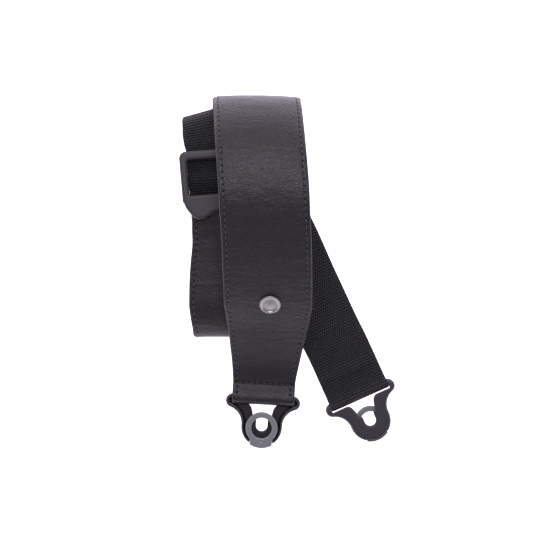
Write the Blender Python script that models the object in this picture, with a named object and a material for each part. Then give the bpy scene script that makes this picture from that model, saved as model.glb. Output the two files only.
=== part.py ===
"""Guitar strap with a locking connector at each end, lying folded in a loose spiral.

All lengths below are millimetres; MM turns them into metres when a mesh is made. +Z is up, the strap
rests on the plane z = 0, and the origin is under the middle of the folded strap.

Every strap layer is a ribbon. Its route is a list of points (x, y, z, turn, roll): the middle of the
strap, the direction of the straight line across it (turn, in degrees from +X in plan) and that
line's slope (roll, in degrees). A smooth curve goes through the points of a route.
"""
import math

import bmesh
import bpy
import numpy as np
from mathutils import Matrix, Vector

MM = 0.001
GAP = 0.3

# Strap layers
LEATHER_WIDTH = 68.6
END_WIDTH = 50.0
TAPER_LENGTH = 72.0
FACE_THICKNESS = 1.5
LINING_THICKNESS = 1.2
WEBBING_WIDTH = 50.0
WEBBING_THICKNESS = 1.5
STITCH_TO_BAR = 12.7
RETURN_LENGTH = 17.5
LINING_START = 18.6
EDGE_INSET = 2.6

# How far each loop's layer stands off its bar's axis
FRONT_LOOP = 3.4
FRONT_LOOP_RISE = 1.05
ADJUSTER_LOOP = 2.15
REAR_LOOP = 3.15

# Moves the layout below so that the origin is under the middle of the folded strap
LAYOUT_SHIFT = (-1.01, 0.97, 0.0)

# Where the three bars are: the middle of each bar's axis, and its turn in plan
FRONT_BAR = (-19.4, -101.8, 4.05)
FRONT_TURN = -3.3
REAR_BAR = (57.55, -98.9, 3.95)
REAR_TURN = 24.0
ADJUSTER_BAR = (-51.3, 57.2, 33.4)
ADJUSTER_TURN = 4.3

# Connector, in its own frame: x along the bar, y towards the strap, z out of its front
BAR_RADIUS = 2.0
BACK_Z = -4.0
PLATE_Z = -0.8
RIM_Z = 2.8
EAR_CENTRE = (24.4, -3.1)
EAR_RADIUS = 5.6
ROUND_CENTRE = (0.0, -23.1)
ROUND_RADIUS = 16.5
FLARE_RADIUS = 14.0
RIM_WIDTH = 1.6
EAR_RIM_WIDTH = 2.6
SLOT_HALF = 25.5
SHOULDER_Y = -5.15
MOUTH_HALF = 12.6
THROAT = (7.6, -14.4)
SEAT_START_Y = -18.0
SEAT_Y = -22.4
SEAT_RADIUS = 4.6
RECESS_Y = -32.6
RECESS_FLOOR = 1.0

# Latch ring, in the connector's frame
RING_Y = -24.2
RING_RADIUS = 12.85
RING_HOLE = 8.3
RING_Z = (-0.45, 3.9)
TAB_HALF = 9.05
TAB_RADIUS = 17.3
PIN_Y = -35.0
PIN_Z = 1.3
PIN_RADIUS = 0.8
PIN_HALF = 10.2
SPRING_POCKET_HALF = 3.4
COIL_RADIUS = 1.45
SPRING_WIRE = 0.25
SPRING_TURNS = 4

# Adjuster frame, in its own frame: x along the lower bar, y towards its top bar, z outwards
WINDOW_HALF = 25.9
WINDOW_Y = (4.2, 32.5)
WINDOW_CORNER = 2.5
FRAME_HALF = 30.8
FRAME_TOP = 39.2
FRAME_CORNER = 5.5
RAIL_INSET = 0.4
RAIL_END = -0.5
RAIL_Z = (-2.9, 6.2)
SHIELD_Z = 4.2
TOP_BAR_Z = 0.8
CENTRE_BAR = (18.2, -0.7)
LOBE_TIP = (17.8, -14.8)
SHIELD_WAIST = -8.6

# Rivet
RIVET_PLACE = 1.6
CAP_RADIUS = 8.2
POST_RADIUS = 1.6
BACK_CAP_RADIUS = 5.5

# Stitches
STITCH_PITCH = 4.8
STITCH_SIZE = (3.4, 0.7, 0.4)
DIP_SHARE = 0.4

MATERIALS = {
    "face_leather": ((0.030, 0.029, 0.032, 1), 0.45, 0.0),
    "lining_leather": ((0.045, 0.044, 0.046, 1), 0.8, 0.0),
    "webbing": ((0.012, 0.012, 0.014, 1), 0.85, 0.0),
    "thread": ((0.02, 0.02, 0.022, 1), 0.7, 0.0),
    "body_plastic": ((0.035, 0.033, 0.038, 1), 0.5, 0.0),
    "ring_plastic": ((0.15, 0.15, 0.16, 1), 0.5, 0.0),
    "frame_plastic": ((0.05, 0.048, 0.052, 1), 0.5, 0.0),
    "rivet_metal": ((0.45, 0.43, 0.41, 1), 0.35, 1.0),
    "pin_steel": ((0.5, 0.5, 0.5, 1), 0.3, 1.0),
}


def clear_scene():
    for thing in list(bpy.data.objects):
        bpy.data.objects.remove(thing)


def material(name):
    found = bpy.data.materials.get(name)
    if found:
        return found
    colour, roughness, metallic = MATERIALS[name]
    made = bpy.data.materials.new(name)
    made.use_nodes = True
    shader = made.node_tree.nodes["Principled BSDF"]
    shader.inputs["Base Color"].default_value = colour
    shader.inputs["Roughness"].default_value = roughness
    shader.inputs["Metallic"].default_value = metallic
    return made


def add_object(name, mesh, kind, parent=None):
    thing = bpy.data.objects.new(name, mesh)
    mesh.materials.append(material(kind))
    bpy.context.collection.objects.link(thing)
    thing.parent = parent
    return thing


def mesh_from(name, corners, faces):
    """A mesh from corners in millimetres, with its faces turned outwards."""
    mesh = bpy.data.meshes.new(name)
    mesh.from_pydata([tuple(value * MM for value in corner) for corner in corners], [], faces)
    shape = bmesh.new()
    shape.from_mesh(mesh)
    bmesh.ops.recalc_face_normals(shape, faces=shape.faces)
    shape.to_mesh(mesh)
    shape.free()
    return mesh


def smooth(thing, angle=35):
    thing.data.shade_smooth()
    thing.data.set_sharp_from_angle(angle=math.radians(angle))


# ---------------------------------------------------------------- curves and outlines

def natural_spline(knots, rows, places):
    """Values at places of the natural cubic curve that takes the given rows at the knots."""
    gaps = np.diff(knots)
    count = len(knots)
    system = np.eye(count)
    right = np.zeros((count, rows.shape[1]))
    for i in range(1, count - 1):
        system[i, i - 1:i + 2] = gaps[i - 1], 2 * (gaps[i - 1] + gaps[i]), gaps[i]
        right[i] = 6 * ((rows[i + 1] - rows[i]) / gaps[i] - (rows[i] - rows[i - 1]) / gaps[i - 1])
    bends = np.linalg.solve(system, right)
    span = np.clip(np.searchsorted(knots, places, side="right") - 1, 0, count - 2)
    gap = gaps[span][:, None]
    ahead = (places - knots[span])[:, None]
    behind = gap - ahead
    return (
        (bends[span] * behind ** 3 + bends[span + 1] * ahead ** 3) / (6 * gap)
        + (rows[span] / gap - bends[span] * gap / 6) * behind
        + (rows[span + 1] / gap - bends[span + 1] * gap / 6) * ahead
    )


def bezier(start, pull, end, count=8):
    """Points of a quadratic curve, without its first one."""
    points = []
    for i in range(1, count + 1):
        t = i / count
        points.append(tuple(
            (1 - t) ** 2 * a + 2 * t * (1 - t) * b + t * t * c for a, b, c in zip(start, pull, end)
        ))
    return points


def arc(centre, radius, start, end, count):
    """Points from start to end degrees round a centre, both ends included."""
    points = []
    for i in range(count + 1):
        angle = math.radians(start + (end - start) * i / count)
        points.append((centre[0] + radius * math.cos(angle), centre[1] + radius * math.sin(angle)))
    return points


def direction(start, end):
    return math.degrees(math.atan2(end[1] - start[1], end[0] - start[0]))


def mirrored(half):
    """A closed outline from its right half, which runs from the top to the bottom on x = 0."""
    left = [(-x, y) for x, y in reversed(half) if x > 0.001]
    return half + left


# ---------------------------------------------------------------- ribbons

class Route:
    """A smooth curve through rows (x, y, z, turn, roll), read by distance along the strap."""

    def __init__(self, rows, step=0.5):
        rows = np.array(rows, dtype=float)
        chords = np.linalg.norm(np.diff(rows[:, :3], axis=0), axis=1)
        knots = np.concatenate([[0], np.cumsum(chords)])
        places = np.linspace(0, knots[-1], int(knots[-1] / step) + 1)
        self.rows = natural_spline(knots, rows, places)
        steps = np.linalg.norm(np.diff(self.rows[:, :3], axis=0), axis=1)
        self.distance = np.concatenate([[0], np.cumsum(steps)])
        self.length = self.distance[-1]
        self.marks = np.interp(knots, places, self.distance)
        self.forward = np.gradient(self.rows[:, :3], self.distance, axis=0)
        self.forward /= np.linalg.norm(self.forward, axis=1)[:, None]

    def at(self, s):
        """Middle point, forward direction, direction across, and outward normal at distance s."""
        row = np.array([np.interp(s, self.distance, column) for column in self.rows.T])
        forward = np.array([np.interp(s, self.distance, column) for column in self.forward.T])
        forward /= np.linalg.norm(forward)
        turn, roll = math.radians(row[3]), math.radians(row[4])
        across = np.array([
            math.cos(turn) * math.cos(roll), math.sin(turn) * math.cos(roll), math.sin(roll)
        ])
        normal = np.cross(across, forward)
        return row[:3], forward, across, normal / np.linalg.norm(normal)

    def stations(self, start, end, length_step=9.0, turn_step=11.0):
        """Distances from start to end, closer together where the route bends."""
        inside = (self.distance > start) & (self.distance < end)
        s = np.concatenate([[start], self.distance[inside], [end]])
        forward = np.array([self.at(value)[1] for value in s])
        cosines = np.clip((forward[1:] * forward[:-1]).sum(axis=1), -1, 1)
        measure = np.diff(s) / length_step + np.degrees(np.arccos(cosines)) / turn_step
        measure = np.concatenate([[0], np.cumsum(measure)])
        count = int(math.ceil(measure[-1]))
        return np.interp(np.linspace(0, measure[-1], count + 1), measure, s)


def tube_faces(rings):
    """Faces of a closed run of four-cornered rings, with both ends capped."""
    faces = [(0, 1, 2, 3), tuple(4 * (rings - 1) + i for i in (3, 2, 1, 0))]
    for ring in range(rings - 1):
        first = 4 * ring
        for i in range(4):
            j = (i + 1) % 4
            faces.append((first + i, first + 4 + i, first + 4 + j, first + j))
    return faces


def ribbon(name, route, start, end, width_at, low, high, kind):
    """A closed strap layer between two heights over its route."""
    corners = []
    for s in route.stations(start, end):
        middle, forward, across, normal = route.at(s)
        half = width_at(s) / 2 / math.sqrt(1 - float(forward @ across) ** 2)
        for side, height in ((-1, low), (1, low), (1, high), (-1, high)):
            corners.append(middle + across * half * side + normal * height)
    thing = add_object(name, mesh_from(name, corners, tube_faces(len(corners) // 4)), kind)
    smooth(thing)
    return thing


def beside_bar(bar, turn, points):
    """Route rows for points (out, up) measured from a bar's axis, out to its +y side."""
    angle = math.radians(turn)
    x, y, z = bar
    return [(x - out * math.sin(angle), y + out * math.cos(angle), z + up, turn, 0) for out, up in points]


def leather_route():
    """From the front loop's sewn end, round its bar, along the spiral, and round the adjuster's bar."""
    front = [(RETURN_LENGTH, 1.4), (STITCH_TO_BAR, 0.85), (7.0, -0.9)]
    front += arc((0, FRONT_LOOP_RISE), FRONT_LOOP, -75, -285, 6)
    front += [(7.0, 2.7), (STITCH_TO_BAR, 1.15)]
    rows = beside_bar(FRONT_BAR, FRONT_TURN, front)
    front_stitch = len(rows) - 1
    rows += [
        (-18.3, -83.0, 6.1, -3.2, 0),
        (-17.6, -74.0, 9.8, -3.0, 0),
        (-16.8, -60.0, 17.9, -2.5, 0),
        (-16.0, -48.0, 25.7, -2.0, 0),
        (-15.6, -37.0, 33.4, -1.6, 0),
        (-15.6, -24.0, 42.6, -1.3, 0),
        (-16.1, 0.0, 56.1, -0.9, 0),
        (-16.5, 15.0, 63.2, -0.8, 0),
        (-17.1, 30.0, 69.0, -0.8, 0),
        (-17.9, 44.0, 73.4, -0.8, 0),
        (-18.5, 58.0, 75.8, -0.9, 0),
    ]
    rivet = len(rows) - 6
    for y, z in [(62 + 76 * math.sin(math.radians(a)), 20 + 56 * math.cos(math.radians(a)))
                 for a in (8, 22, 36, 50, 64, 78, 90)]:
        rows.append((-18.3 - 6.0 * (y - 58) / 80, y, z, -0.9, 0))
    rows += [(-25.3 - 0.4 * i, 119.8 + 18.2 * math.cos(math.radians(a)),
              20 - 18.2 * math.sin(math.radians(a)), -0.9, 0)
             for i, a in enumerate((20, 40, 60, 78))]
    rows += [
        (-27.2, 111.0, 1.98, -0.8, 0),
        (-28.0, 101.0, 1.9, -0.7, 0),
        (-31.0, 60.0, 1.9, -0.4, 0),
        (-35.0, 5.0, 1.9, 0.2, 0),
        (-36.8, -22.0, 1.9, 0.5, 0),
        (-37.5, -33.5, 1.98, 0.5, 0),
    ]
    rows += [(-38.2 - 0.45 * i, -41.15 + 9.5 * math.cos(math.radians(a)),
              11.5 + 9.5 * math.sin(math.radians(a)), 0.5, 0)
             for i, a in enumerate((-100, -130, -160, -185))]
    rows += [
        (-40.6, -47.6, 15.2, 0.6, 0),
        (-41.6, -41.0, 19.8, 0.7, 0),
        (-42.8, -33.0, 23.2, 0.9, 0),
        (-44.2, -22.0, 25.3, 1.3, 0),
        (-46.0, -8.0, 26.4, 1.9, 0),
        (-47.4, 10.0, 27.6, 2.7, 0),
        (-48.4, 28.0, 29.3, 3.5, 0),
    ]
    rear = [(-20.0, -2.8), (-STITCH_TO_BAR, -1.2), (-6.5, 0.9)]
    rear += arc((0, 0), ADJUSTER_LOOP, 105, -105, 6)
    rear += [(-6.5, -2.0), (-STITCH_TO_BAR, -1.6), (-RETURN_LENGTH, -2.55)]
    rear_stitch = len(rows) + 1
    rows += beside_bar(ADJUSTER_BAR, ADJUSTER_TURN, rear)
    return Route(rows), front_stitch, rivet, rear_stitch


def webbing_route():
    """From just above the adjuster, over the upper fold, under the spiral, and round the rear bar."""
    rows = [(-56.1, 102.0, 33.1, 5.5, 0), (-57.8, 109.0, 33.4, 9.0, 0)]
    fold_turn = math.radians(15.5)
    outward = (-math.sin(fold_turn), math.cos(fold_turn))
    along = (math.cos(fold_turn), math.sin(fold_turn))
    for a in (10, 35, 60, 85, 110, 135, 160, 180):
        reach = 14.5 * math.sin(math.radians(a))
        drift = -3.1 + 7.4 * a / 180
        rows.append((
            -56.4 + reach * outward[0] + drift * along[0],
            112.7 + reach * outward[1] + drift * along[1],
            18.8 + 14.5 * math.cos(math.radians(a)),
            12 + 7 * a / 180,
            1.6 * math.sin(math.radians(a)),
        ))
    rows += [
        (-48.5, 109.4, 4.3, 20.0, 0),
        (-40.0, 97.0, 4.3, 23.0, 0),
        (-25.0, 71.0, 4.35, 26.0, 0),
        (-7.0, 40.0, 4.5, 26.0, -0.8),
        (4.0, 17.5, 4.4, 25.5, -2.0),
        (14.0, -5.0, 3.9, 25.0, -2.9),
        (24.0, -26.5, 2.8, 25.0, -2.4),
        (35.0, -50.0, 1.3, 24.5, -0.8),
        (41.0, -62.0, 1.0, 24.2, 0),
    ]
    loop = [(32.0, -2.6), (25.0, -1.3), (18.0, -1.2), (11.0, -0.8), (5.5, 1.4)]
    loop += arc((0, 0), REAR_LOOP, 75, 285, 6)
    loop += [(6.0, -3.1), (12.0, -3.1), (24.0, -3.1)]
    stitch = len(rows) + 2
    rows += beside_bar(REAR_BAR, REAR_TURN, loop)
    return Route(rows), stitch


def adjuster_run_route():
    """Under the top bar, over the centre bar, under the leather loop, and back as the free tail."""
    points = [
        (43.8, -0.25), (39.2, -0.35), (33.2, -0.4), (27.2, 0.5), (CENTRE_BAR[0], 2.6), (9.8, -1.6),
        (2.0, -4.9), (-4.0, -5.3), (-12.0, -5.4), (-25.0, -6.9), (-40.0, -9.6), (-55.0, -12.3),
    ]
    points += arc((-55.8, -13.5), 1.0, 110, 250, 4)
    points += [(-47.5, -13.0)]
    hem = len(points) - 1
    return Route(beside_bar(ADJUSTER_BAR, ADJUSTER_TURN, points)), hem


def leather_width(s, front, rear):
    """Full width in the middle, tapering to the width of the end loops."""
    inside = min(s - front, rear - s)
    share = min(max(inside / TAPER_LENGTH, 0), 1) ** 1.1
    return END_WIDTH + (LEATHER_WIDTH - END_WIDTH) * share


def stitch_row(name, route, s, height):
    """One line of thread across a strap, full at each stitch and thin where it dips between them."""
    middle, forward, across, normal = route.at(s)
    count = int((END_WIDTH - 2 * EDGE_INSET) / STITCH_PITCH)
    long, broad, tall = STITCH_SIZE
    corners = []
    for i in range(count):
        centre = (i - (count - 1) / 2) * STITCH_PITCH
        for place, share in ((-0.5, DIP_SHARE), (-0.4, 1), (0.4, 1), (0.5, DIP_SHARE)):
            spot = middle + across * (centre + place * long) + normal * height
            for side, up in ((-0.5, 0), (0.5, 0), (0.5, 1), (-0.5, 1)):
                corners.append(spot + forward * side * broad * share + normal * up * tall * share)
    return add_object(name, mesh_from(name, corners, tube_faces(len(corners) // 4)), "thread")


# ---------------------------------------------------------------- solids

def prism(name, outline, low, high, kind, parent=None):
    """A closed plate with the given outline between two heights."""
    count = len(outline)
    corners = [(x, y, low) for x, y in outline] + [(x, y, high) for x, y in outline]
    faces = [tuple(range(count)), tuple(range(count, 2 * count))]
    for i in range(count):
        j = (i + 1) % count
        faces.append((i, j, count + j, count + i))
    return add_object(name, mesh_from(name, corners, faces), kind, parent)


def turned(name, profile, kind, steps=32, parent=None):
    """A closed round solid from (radius, z) points, which run from the axis to the axis."""
    corners = [(0, 0, profile[0][1])]
    for radius, z in profile[1:-1]:
        corners += [(x, y, z) for x, y in arc((0, 0), radius, 0, 360 * (steps - 1) / steps, steps - 1)]
    corners.append((0, 0, profile[-1][1]))
    rings = len(profile) - 2
    last = len(corners) - 1
    faces = []
    for i in range(steps):
        j = (i + 1) % steps
        faces.append((0, 1 + i, 1 + j))
        for ring in range(rings - 1):
            a = 1 + ring * steps
            faces.append((a + i, a + steps + i, a + steps + j, a + j))
        tail = 1 + (rings - 1) * steps
        faces.append((tail + i, last, tail + j))
    thing = add_object(name, mesh_from(name, corners, faces), kind, parent)
    smooth(thing)
    return thing


def rod(name, half, radius, kind, y=0.0, z=0.0, steps=20, parent=None):
    """A round bar along x, centred over x = 0."""
    corners = []
    for x in (-half, half):
        corners += [(x, y + b, z + c) for b, c in arc((0, 0), radius, 0, 360 * (steps - 1) / steps, steps - 1)]
    faces = [tuple(range(steps)), tuple(range(steps, 2 * steps))]
    for i in range(steps):
        j = (i + 1) % steps
        faces.append((i, steps + i, steps + j, j))
    thing = add_object(name, mesh_from(name, corners, faces), kind, parent)
    smooth(thing)
    return thing


def combine(target, tool, operation="DIFFERENCE"):
    """Cut the tool away from the target, or join it on, and keep the tool as a hidden guide."""
    step = target.modifiers.new(tool.name, "BOOLEAN")
    step.object = tool
    step.operation = operation
    tool.hide_render = True
    tool.display_type = "WIRE"


def frame_empty(name, place, turn, flipped=False):
    """An empty on a bar's axis: x along the bar, y to the strap, z out of the front."""
    empty = bpy.data.objects.new(name, None)
    bpy.context.collection.objects.link(empty)
    empty.location = Vector(place) * MM
    empty.rotation_euler = (0, math.pi if flipped else 0, math.radians(turn))
    return empty


# ---------------------------------------------------------------- connectors

def connector_outline(ear_radius, round_radius, flare_radius):
    """Two round ears joined to one round end by hollow flares that touch both."""
    ear, end = Vector(EAR_CENTRE), Vector(ROUND_CENTRE)
    span = ear - end
    near, far = round_radius + flare_radius, ear_radius + flare_radius
    reach = (near ** 2 - far ** 2 + span.length ** 2) / (2 * span.length)
    side = math.sqrt(near ** 2 - reach ** 2)
    axis = span.normalized()
    flare = end + axis * reach + Vector((axis.y, -axis.x)) * side
    ear_end = direction(ear, flare)
    flare_start = direction(flare, ear) - 360 if direction(flare, ear) > 180 else direction(flare, ear)
    flare_end = direction(flare, end) % 360
    half = [(0, ear.y + ear_radius)]
    half += arc(ear, ear_radius, 90, ear_end, 10)
    half += arc(flare, flare_radius, flare_start % 360, flare_end, 8)[1:]
    half += arc(end, round_radius, direction(end, flare), -90, 12)[1:]
    half[-1] = (0, end.y - round_radius)
    return mirrored(half)


def keyhole_outline():
    """The way in for a strap button: a funnel that narrows to the round-ended seat."""
    mouth = (MOUTH_HALF, SHOULDER_Y)
    half = [(0, SHOULDER_Y + 1), (MOUTH_HALF, SHOULDER_Y + 1), mouth]
    half += bezier(mouth, (8.4, -6.4), THROAT, 6)
    half += bezier(THROAT, (7.2, -16.8), (SEAT_RADIUS, SEAT_START_Y), 3)
    half += arc((0, SEAT_Y), SEAT_RADIUS, 0, -90, 6)
    half[-1] = (0, SEAT_Y - SEAT_RADIUS)
    return mirrored(half)


def connector_body(name, parent):
    """Keyhole plate with a raised rim, the strap bar between its ears, and the latch's recess."""
    body = prism(name, connector_outline(EAR_RADIUS, ROUND_RADIUS, FLARE_RADIUS), BACK_Z, RIM_Z,
                 "body_plastic", parent)
    inner = connector_outline(
        EAR_RADIUS - EAR_RIM_WIDTH, ROUND_RADIUS - RIM_WIDTH, FLARE_RADIUS + EAR_RIM_WIDTH
    )
    combine(body, prism(name + "_channel_cut", inner, PLATE_Z, RIM_Z + 1, "body_plastic", parent))
    slot = [(-SLOT_HALF, SHOULDER_Y), (SLOT_HALF, SHOULDER_Y), (SLOT_HALF, 4), (-SLOT_HALF, 4)]
    combine(body, prism(name + "_slot_cut", slot, BACK_Z - 1, RIM_Z + 1, "body_plastic", parent))
    combine(body, prism(name + "_keyhole_cut", keyhole_outline(), BACK_Z - 1, RIM_Z + 2, "body_plastic",
                        parent))
    edge = TAB_HALF + GAP
    recess = [(-edge, RECESS_Y), (-edge, -45), (edge, -45), (edge, RECESS_Y)]
    combine(body, prism(name + "_tab_recess_cut", recess, BACK_Z + RECESS_FLOOR, RIM_Z + 3, "body_plastic",
                        parent))
    combine(body, rod(name + "_pin_hole_cut", PIN_HALF + GAP, PIN_RADIUS + GAP, "body_plastic", PIN_Y, PIN_Z,
                      12, parent))
    combine(body, rod(name + "_bar", SLOT_HALF + 1.5, BAR_RADIUS, "body_plastic", parent=parent), "UNION")
    smooth(body)
    return body


def latch_ring(name, parent):
    """Round lock ring with its press tab, bored for the hinge pin and pocketed for the spring."""
    corner = math.degrees(math.acos(TAB_HALF / RING_RADIUS))
    outline = arc((0, RING_Y), RING_RADIUS, -corner, 180 + corner, 36)
    bottom = math.degrees(math.acos(TAB_HALF / TAB_RADIUS))
    outline += arc(ROUND_CENTRE, TAB_RADIUS, -180 + bottom, -bottom, 10)
    outline = [(x, y - PIN_Y) for x, y in outline]
    low, high = RING_Z[0] - PIN_Z, RING_Z[1] - PIN_Z
    ring = prism(name, outline, low, high, "ring_plastic", parent)
    hole = [(x, y - PIN_Y) for x, y in arc((0, RING_Y), RING_HOLE, 0, 350, 35)]
    combine(ring, prism(name + "_hole_cut", hole, low - 1, high + 1, "ring_plastic", parent))
    combine(ring, rod(name + "_pin_cut", TAB_HALF + 2, PIN_RADIUS + GAP, "ring_plastic", steps=12,
                      parent=parent))
    reach = COIL_RADIUS + SPRING_WIRE + 1.5 * GAP
    pocket = [(-SPRING_POCKET_HALF, -reach), (SPRING_POCKET_HALF, -reach), (SPRING_POCKET_HALF, reach),
              (-SPRING_POCKET_HALF, reach)]
    combine(ring, prism(name + "_pocket_cut", pocket, low - 1, reach, "ring_plastic", parent))
    smooth(ring)
    return ring


def torsion_spring(name, parent):
    """A closed-wound coil round the hinge pin, one leg on the recess and one under the ring."""
    points = []
    count = 14 * SPRING_TURNS
    for i in range(count + 1):
        angle = math.radians(-90 + 360 * SPRING_TURNS * i / count)
        x = (i / count - 0.5) * 2 * (SPRING_POCKET_HALF - 1.0)
        points.append((x, COIL_RADIUS * math.cos(angle), COIL_RADIUS * math.sin(angle)))
    points.insert(0, (points[0][0], -1.8, -COIL_RADIUS - 0.3))
    points.append((points[-1][0], 1.4, -COIL_RADIUS + 0.15))
    curve = bpy.data.curves.new(name + "_line", "CURVE")
    curve.dimensions = "3D"
    curve.bevel_depth = SPRING_WIRE * MM
    curve.bevel_resolution = 1
    curve.use_fill_caps = True
    line = curve.splines.new("POLY")
    line.points.add(len(points) - 1)
    for point, place in zip(line.points, points):
        point.co = (place[0] * MM, place[1] * MM, place[2] * MM, 1)
    curve.materials.append(material("pin_steel"))
    spring = bpy.data.objects.new(name, curve)
    bpy.context.collection.objects.link(spring)
    spring.parent = parent
    return spring


def connector(side, place, turn, flipped):
    """One locking end: its body, latch ring, hinge pin and spring."""
    bar = frame_empty(side + "_bar_axis", place, turn, flipped)
    connector_body(side + "_connector_body", bar)
    hinge = bpy.data.objects.new(side + "_latch_axis", None)
    bpy.context.collection.objects.link(hinge)
    hinge.parent = bar
    hinge.location = (0, PIN_Y * MM, PIN_Z * MM)
    latch_ring(side + "_latch_ring", hinge)
    rod(side + "_latch_pin", PIN_HALF, PIN_RADIUS, "pin_steel", steps=16, parent=hinge)
    torsion_spring(side + "_latch_spring", hinge)


# ---------------------------------------------------------------- adjuster

def adjuster_outline():
    """Frame outline: a straight top with round corners, and a two-lobed shield at the bottom."""
    half = [(0, FRAME_TOP)]
    half += arc((FRAME_HALF - FRAME_CORNER, FRAME_TOP - FRAME_CORNER), FRAME_CORNER, 90, 0, 4)
    half.append((FRAME_HALF - 0.4, 3.2))
    half += bezier(half[-1], (29.8, -4.3), (25.4, -10.4), 4)
    half += bezier(half[-1], (22.0, -15.2), LOBE_TIP, 3)
    half += bezier(LOBE_TIP, (14.0, -14.4), (9.5, -11.2), 3)
    half += bezier(half[-1], (5.5, SHIELD_WAIST), (0, SHIELD_WAIST), 3)
    return mirrored(half)


def adjuster_frame():
    """One moulded frame: a top plate with its window, side rails, a top bar and two round bars."""
    axis = frame_empty("adjuster_axis", ADJUSTER_BAR, ADJUSTER_TURN)
    frame = prism("adjuster_frame", adjuster_outline(), SHIELD_Z, RAIL_Z[1], "frame_plastic", axis)
    low, high = WINDOW_Y
    side = WINDOW_HALF - WINDOW_CORNER
    window = []
    for x, y, start in (
        (side, high - WINDOW_CORNER, 0), (-side, high - WINDOW_CORNER, 90),
        (-side, low + WINDOW_CORNER, 180), (side, low + WINDOW_CORNER, 270)
    ):
        window += arc((x, y), WINDOW_CORNER, start, start + 90, 4)
    combine(frame, prism("adjuster_window_cut", window, SHIELD_Z - 1, RAIL_Z[1] + 1, "frame_plastic", axis))
    outer = FRAME_HALF - RAIL_INSET
    rail_top = FRAME_TOP - FRAME_CORNER
    bar_half = outer - FRAME_CORNER
    for name, left, right, bottom, top, floor in (
        ("adjuster_left_rail", -outer, -WINDOW_HALF, RAIL_END, rail_top, RAIL_Z[0]),
        ("adjuster_right_rail", WINDOW_HALF, outer, RAIL_END, rail_top, RAIL_Z[0]),
        ("adjuster_top_bar", -bar_half, bar_half, high, FRAME_TOP - RAIL_INSET, TOP_BAR_Z),
    ):
        outline = [(left, bottom), (right, bottom), (right, top), (left, top)]
        combine(frame, prism(name, outline, floor, SHIELD_Z + 0.8, "frame_plastic", axis), "UNION")
    for name, y, z in (("adjuster_lower_bar", 0, 0), ("adjuster_centre_bar", *CENTRE_BAR)):
        combine(frame, rod(name, WINDOW_HALF + 2, BAR_RADIUS, "frame_plastic", y, z, parent=axis), "UNION")
    smooth(frame)


# ---------------------------------------------------------------- strap

def rivet(route, s, layers):
    """Cap over the face, post through both leathers, and back cap under the lining."""
    middle, forward, across, normal = route.at(s)
    place = Vector(middle + across * RIVET_PLACE)
    turn = Matrix((across, np.cross(normal, across), normal)).transposed().to_4x4()
    top = GAP / 2 + FACE_THICKNESS
    bottom = -GAP / 2 - LINING_THICKNESS
    base = top + GAP + 0.1
    cap = turned("rivet_cap", [
        (0, base), (CAP_RADIUS - 0.4, base), (CAP_RADIUS, base + 0.5), (CAP_RADIUS - 0.5, base + 1.5),
        (CAP_RADIUS - 1.7, base + 1.5), (CAP_RADIUS - 2.1, base + 1.0), (0, base + 1.2)
    ], "rivet_metal")
    post = turned("rivet_post", [
        (0, bottom - GAP - 1.2), (BACK_CAP_RADIUS - 1, bottom - GAP - 1.1), (BACK_CAP_RADIUS, bottom - GAP - 0.4),
        (BACK_CAP_RADIUS, bottom - GAP), (POST_RADIUS, bottom - GAP), (POST_RADIUS, top), (0, top)
    ], "rivet_metal", 24)
    hole = turned("rivet_hole_cut", [
        (0, bottom - 2), (POST_RADIUS + GAP, bottom - 2), (POST_RADIUS + GAP, top + 2), (0, top + 2)
    ], "rivet_metal", 16)
    for thing in (cap, post, hole):
        thing.matrix_world = Matrix.Translation(place * MM) @ turn
    for layer in layers:
        combine(layer, hole)


def leather():
    route, front_stitch, rivet_row, rear_stitch = leather_route()
    front, rear = route.marks[front_stitch], route.marks[rear_stitch]

    def width(s):
        return leather_width(s, front, rear)

    inner = GAP / 2
    face_top = inner + FACE_THICKNESS
    face = ribbon("face_leather", route, 0, route.length, width, inner, face_top, "face_leather")
    room = LINING_START - STITCH_TO_BAR
    lining = ribbon("lining_leather", route, front + room, rear - room, width, -inner - LINING_THICKNESS,
                    -inner, "lining_leather")
    rivet(route, route.marks[rivet_row], (face, lining))
    stitch_row("front_loop_stitching", route, front, face_top + GAP)
    stitch_row("adjuster_loop_stitching", route, rear, face_top + GAP)


def webbing():
    half = WEBBING_THICKNESS / 2
    route, stitch = webbing_route()
    ribbon("webbing_strap", route, 0, route.length, lambda s: WEBBING_WIDTH, -half, half, "webbing")
    stitch_row("rear_loop_stitching", route, route.marks[stitch], -half - GAP - STITCH_SIZE[2])
    run, hem = adjuster_run_route()
    ribbon("webbing_adjuster_run", run, 0, run.length, lambda s: WEBBING_WIDTH, -half, half, "webbing")
    stitch_row("tail_hem_stitching", run, run.marks[hem] - 2.5, half + GAP)


def main():
    clear_scene()
    leather()
    webbing()
    adjuster_frame()
    connector("front", FRONT_BAR, FRONT_TURN, flipped=False)
    connector("rear", REAR_BAR, REAR_TURN, flipped=True)
    for thing in bpy.data.objects:
        if thing.parent is None:
            thing.location += Vector(LAYOUT_SHIFT) * MM


main()
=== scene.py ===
"""Folded guitar strap: fine surfaces, stitching, weave, materials, floor, light and camera.

Lengths below are millimetres unless a name says otherwise; MM turns them into metres when a mesh is
made. The strap layers follow the same routes as the CAD frame that is loaded first.
"""

import math

import bmesh
import bpy
import numpy as np
from mathutils import Matrix, Vector


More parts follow.
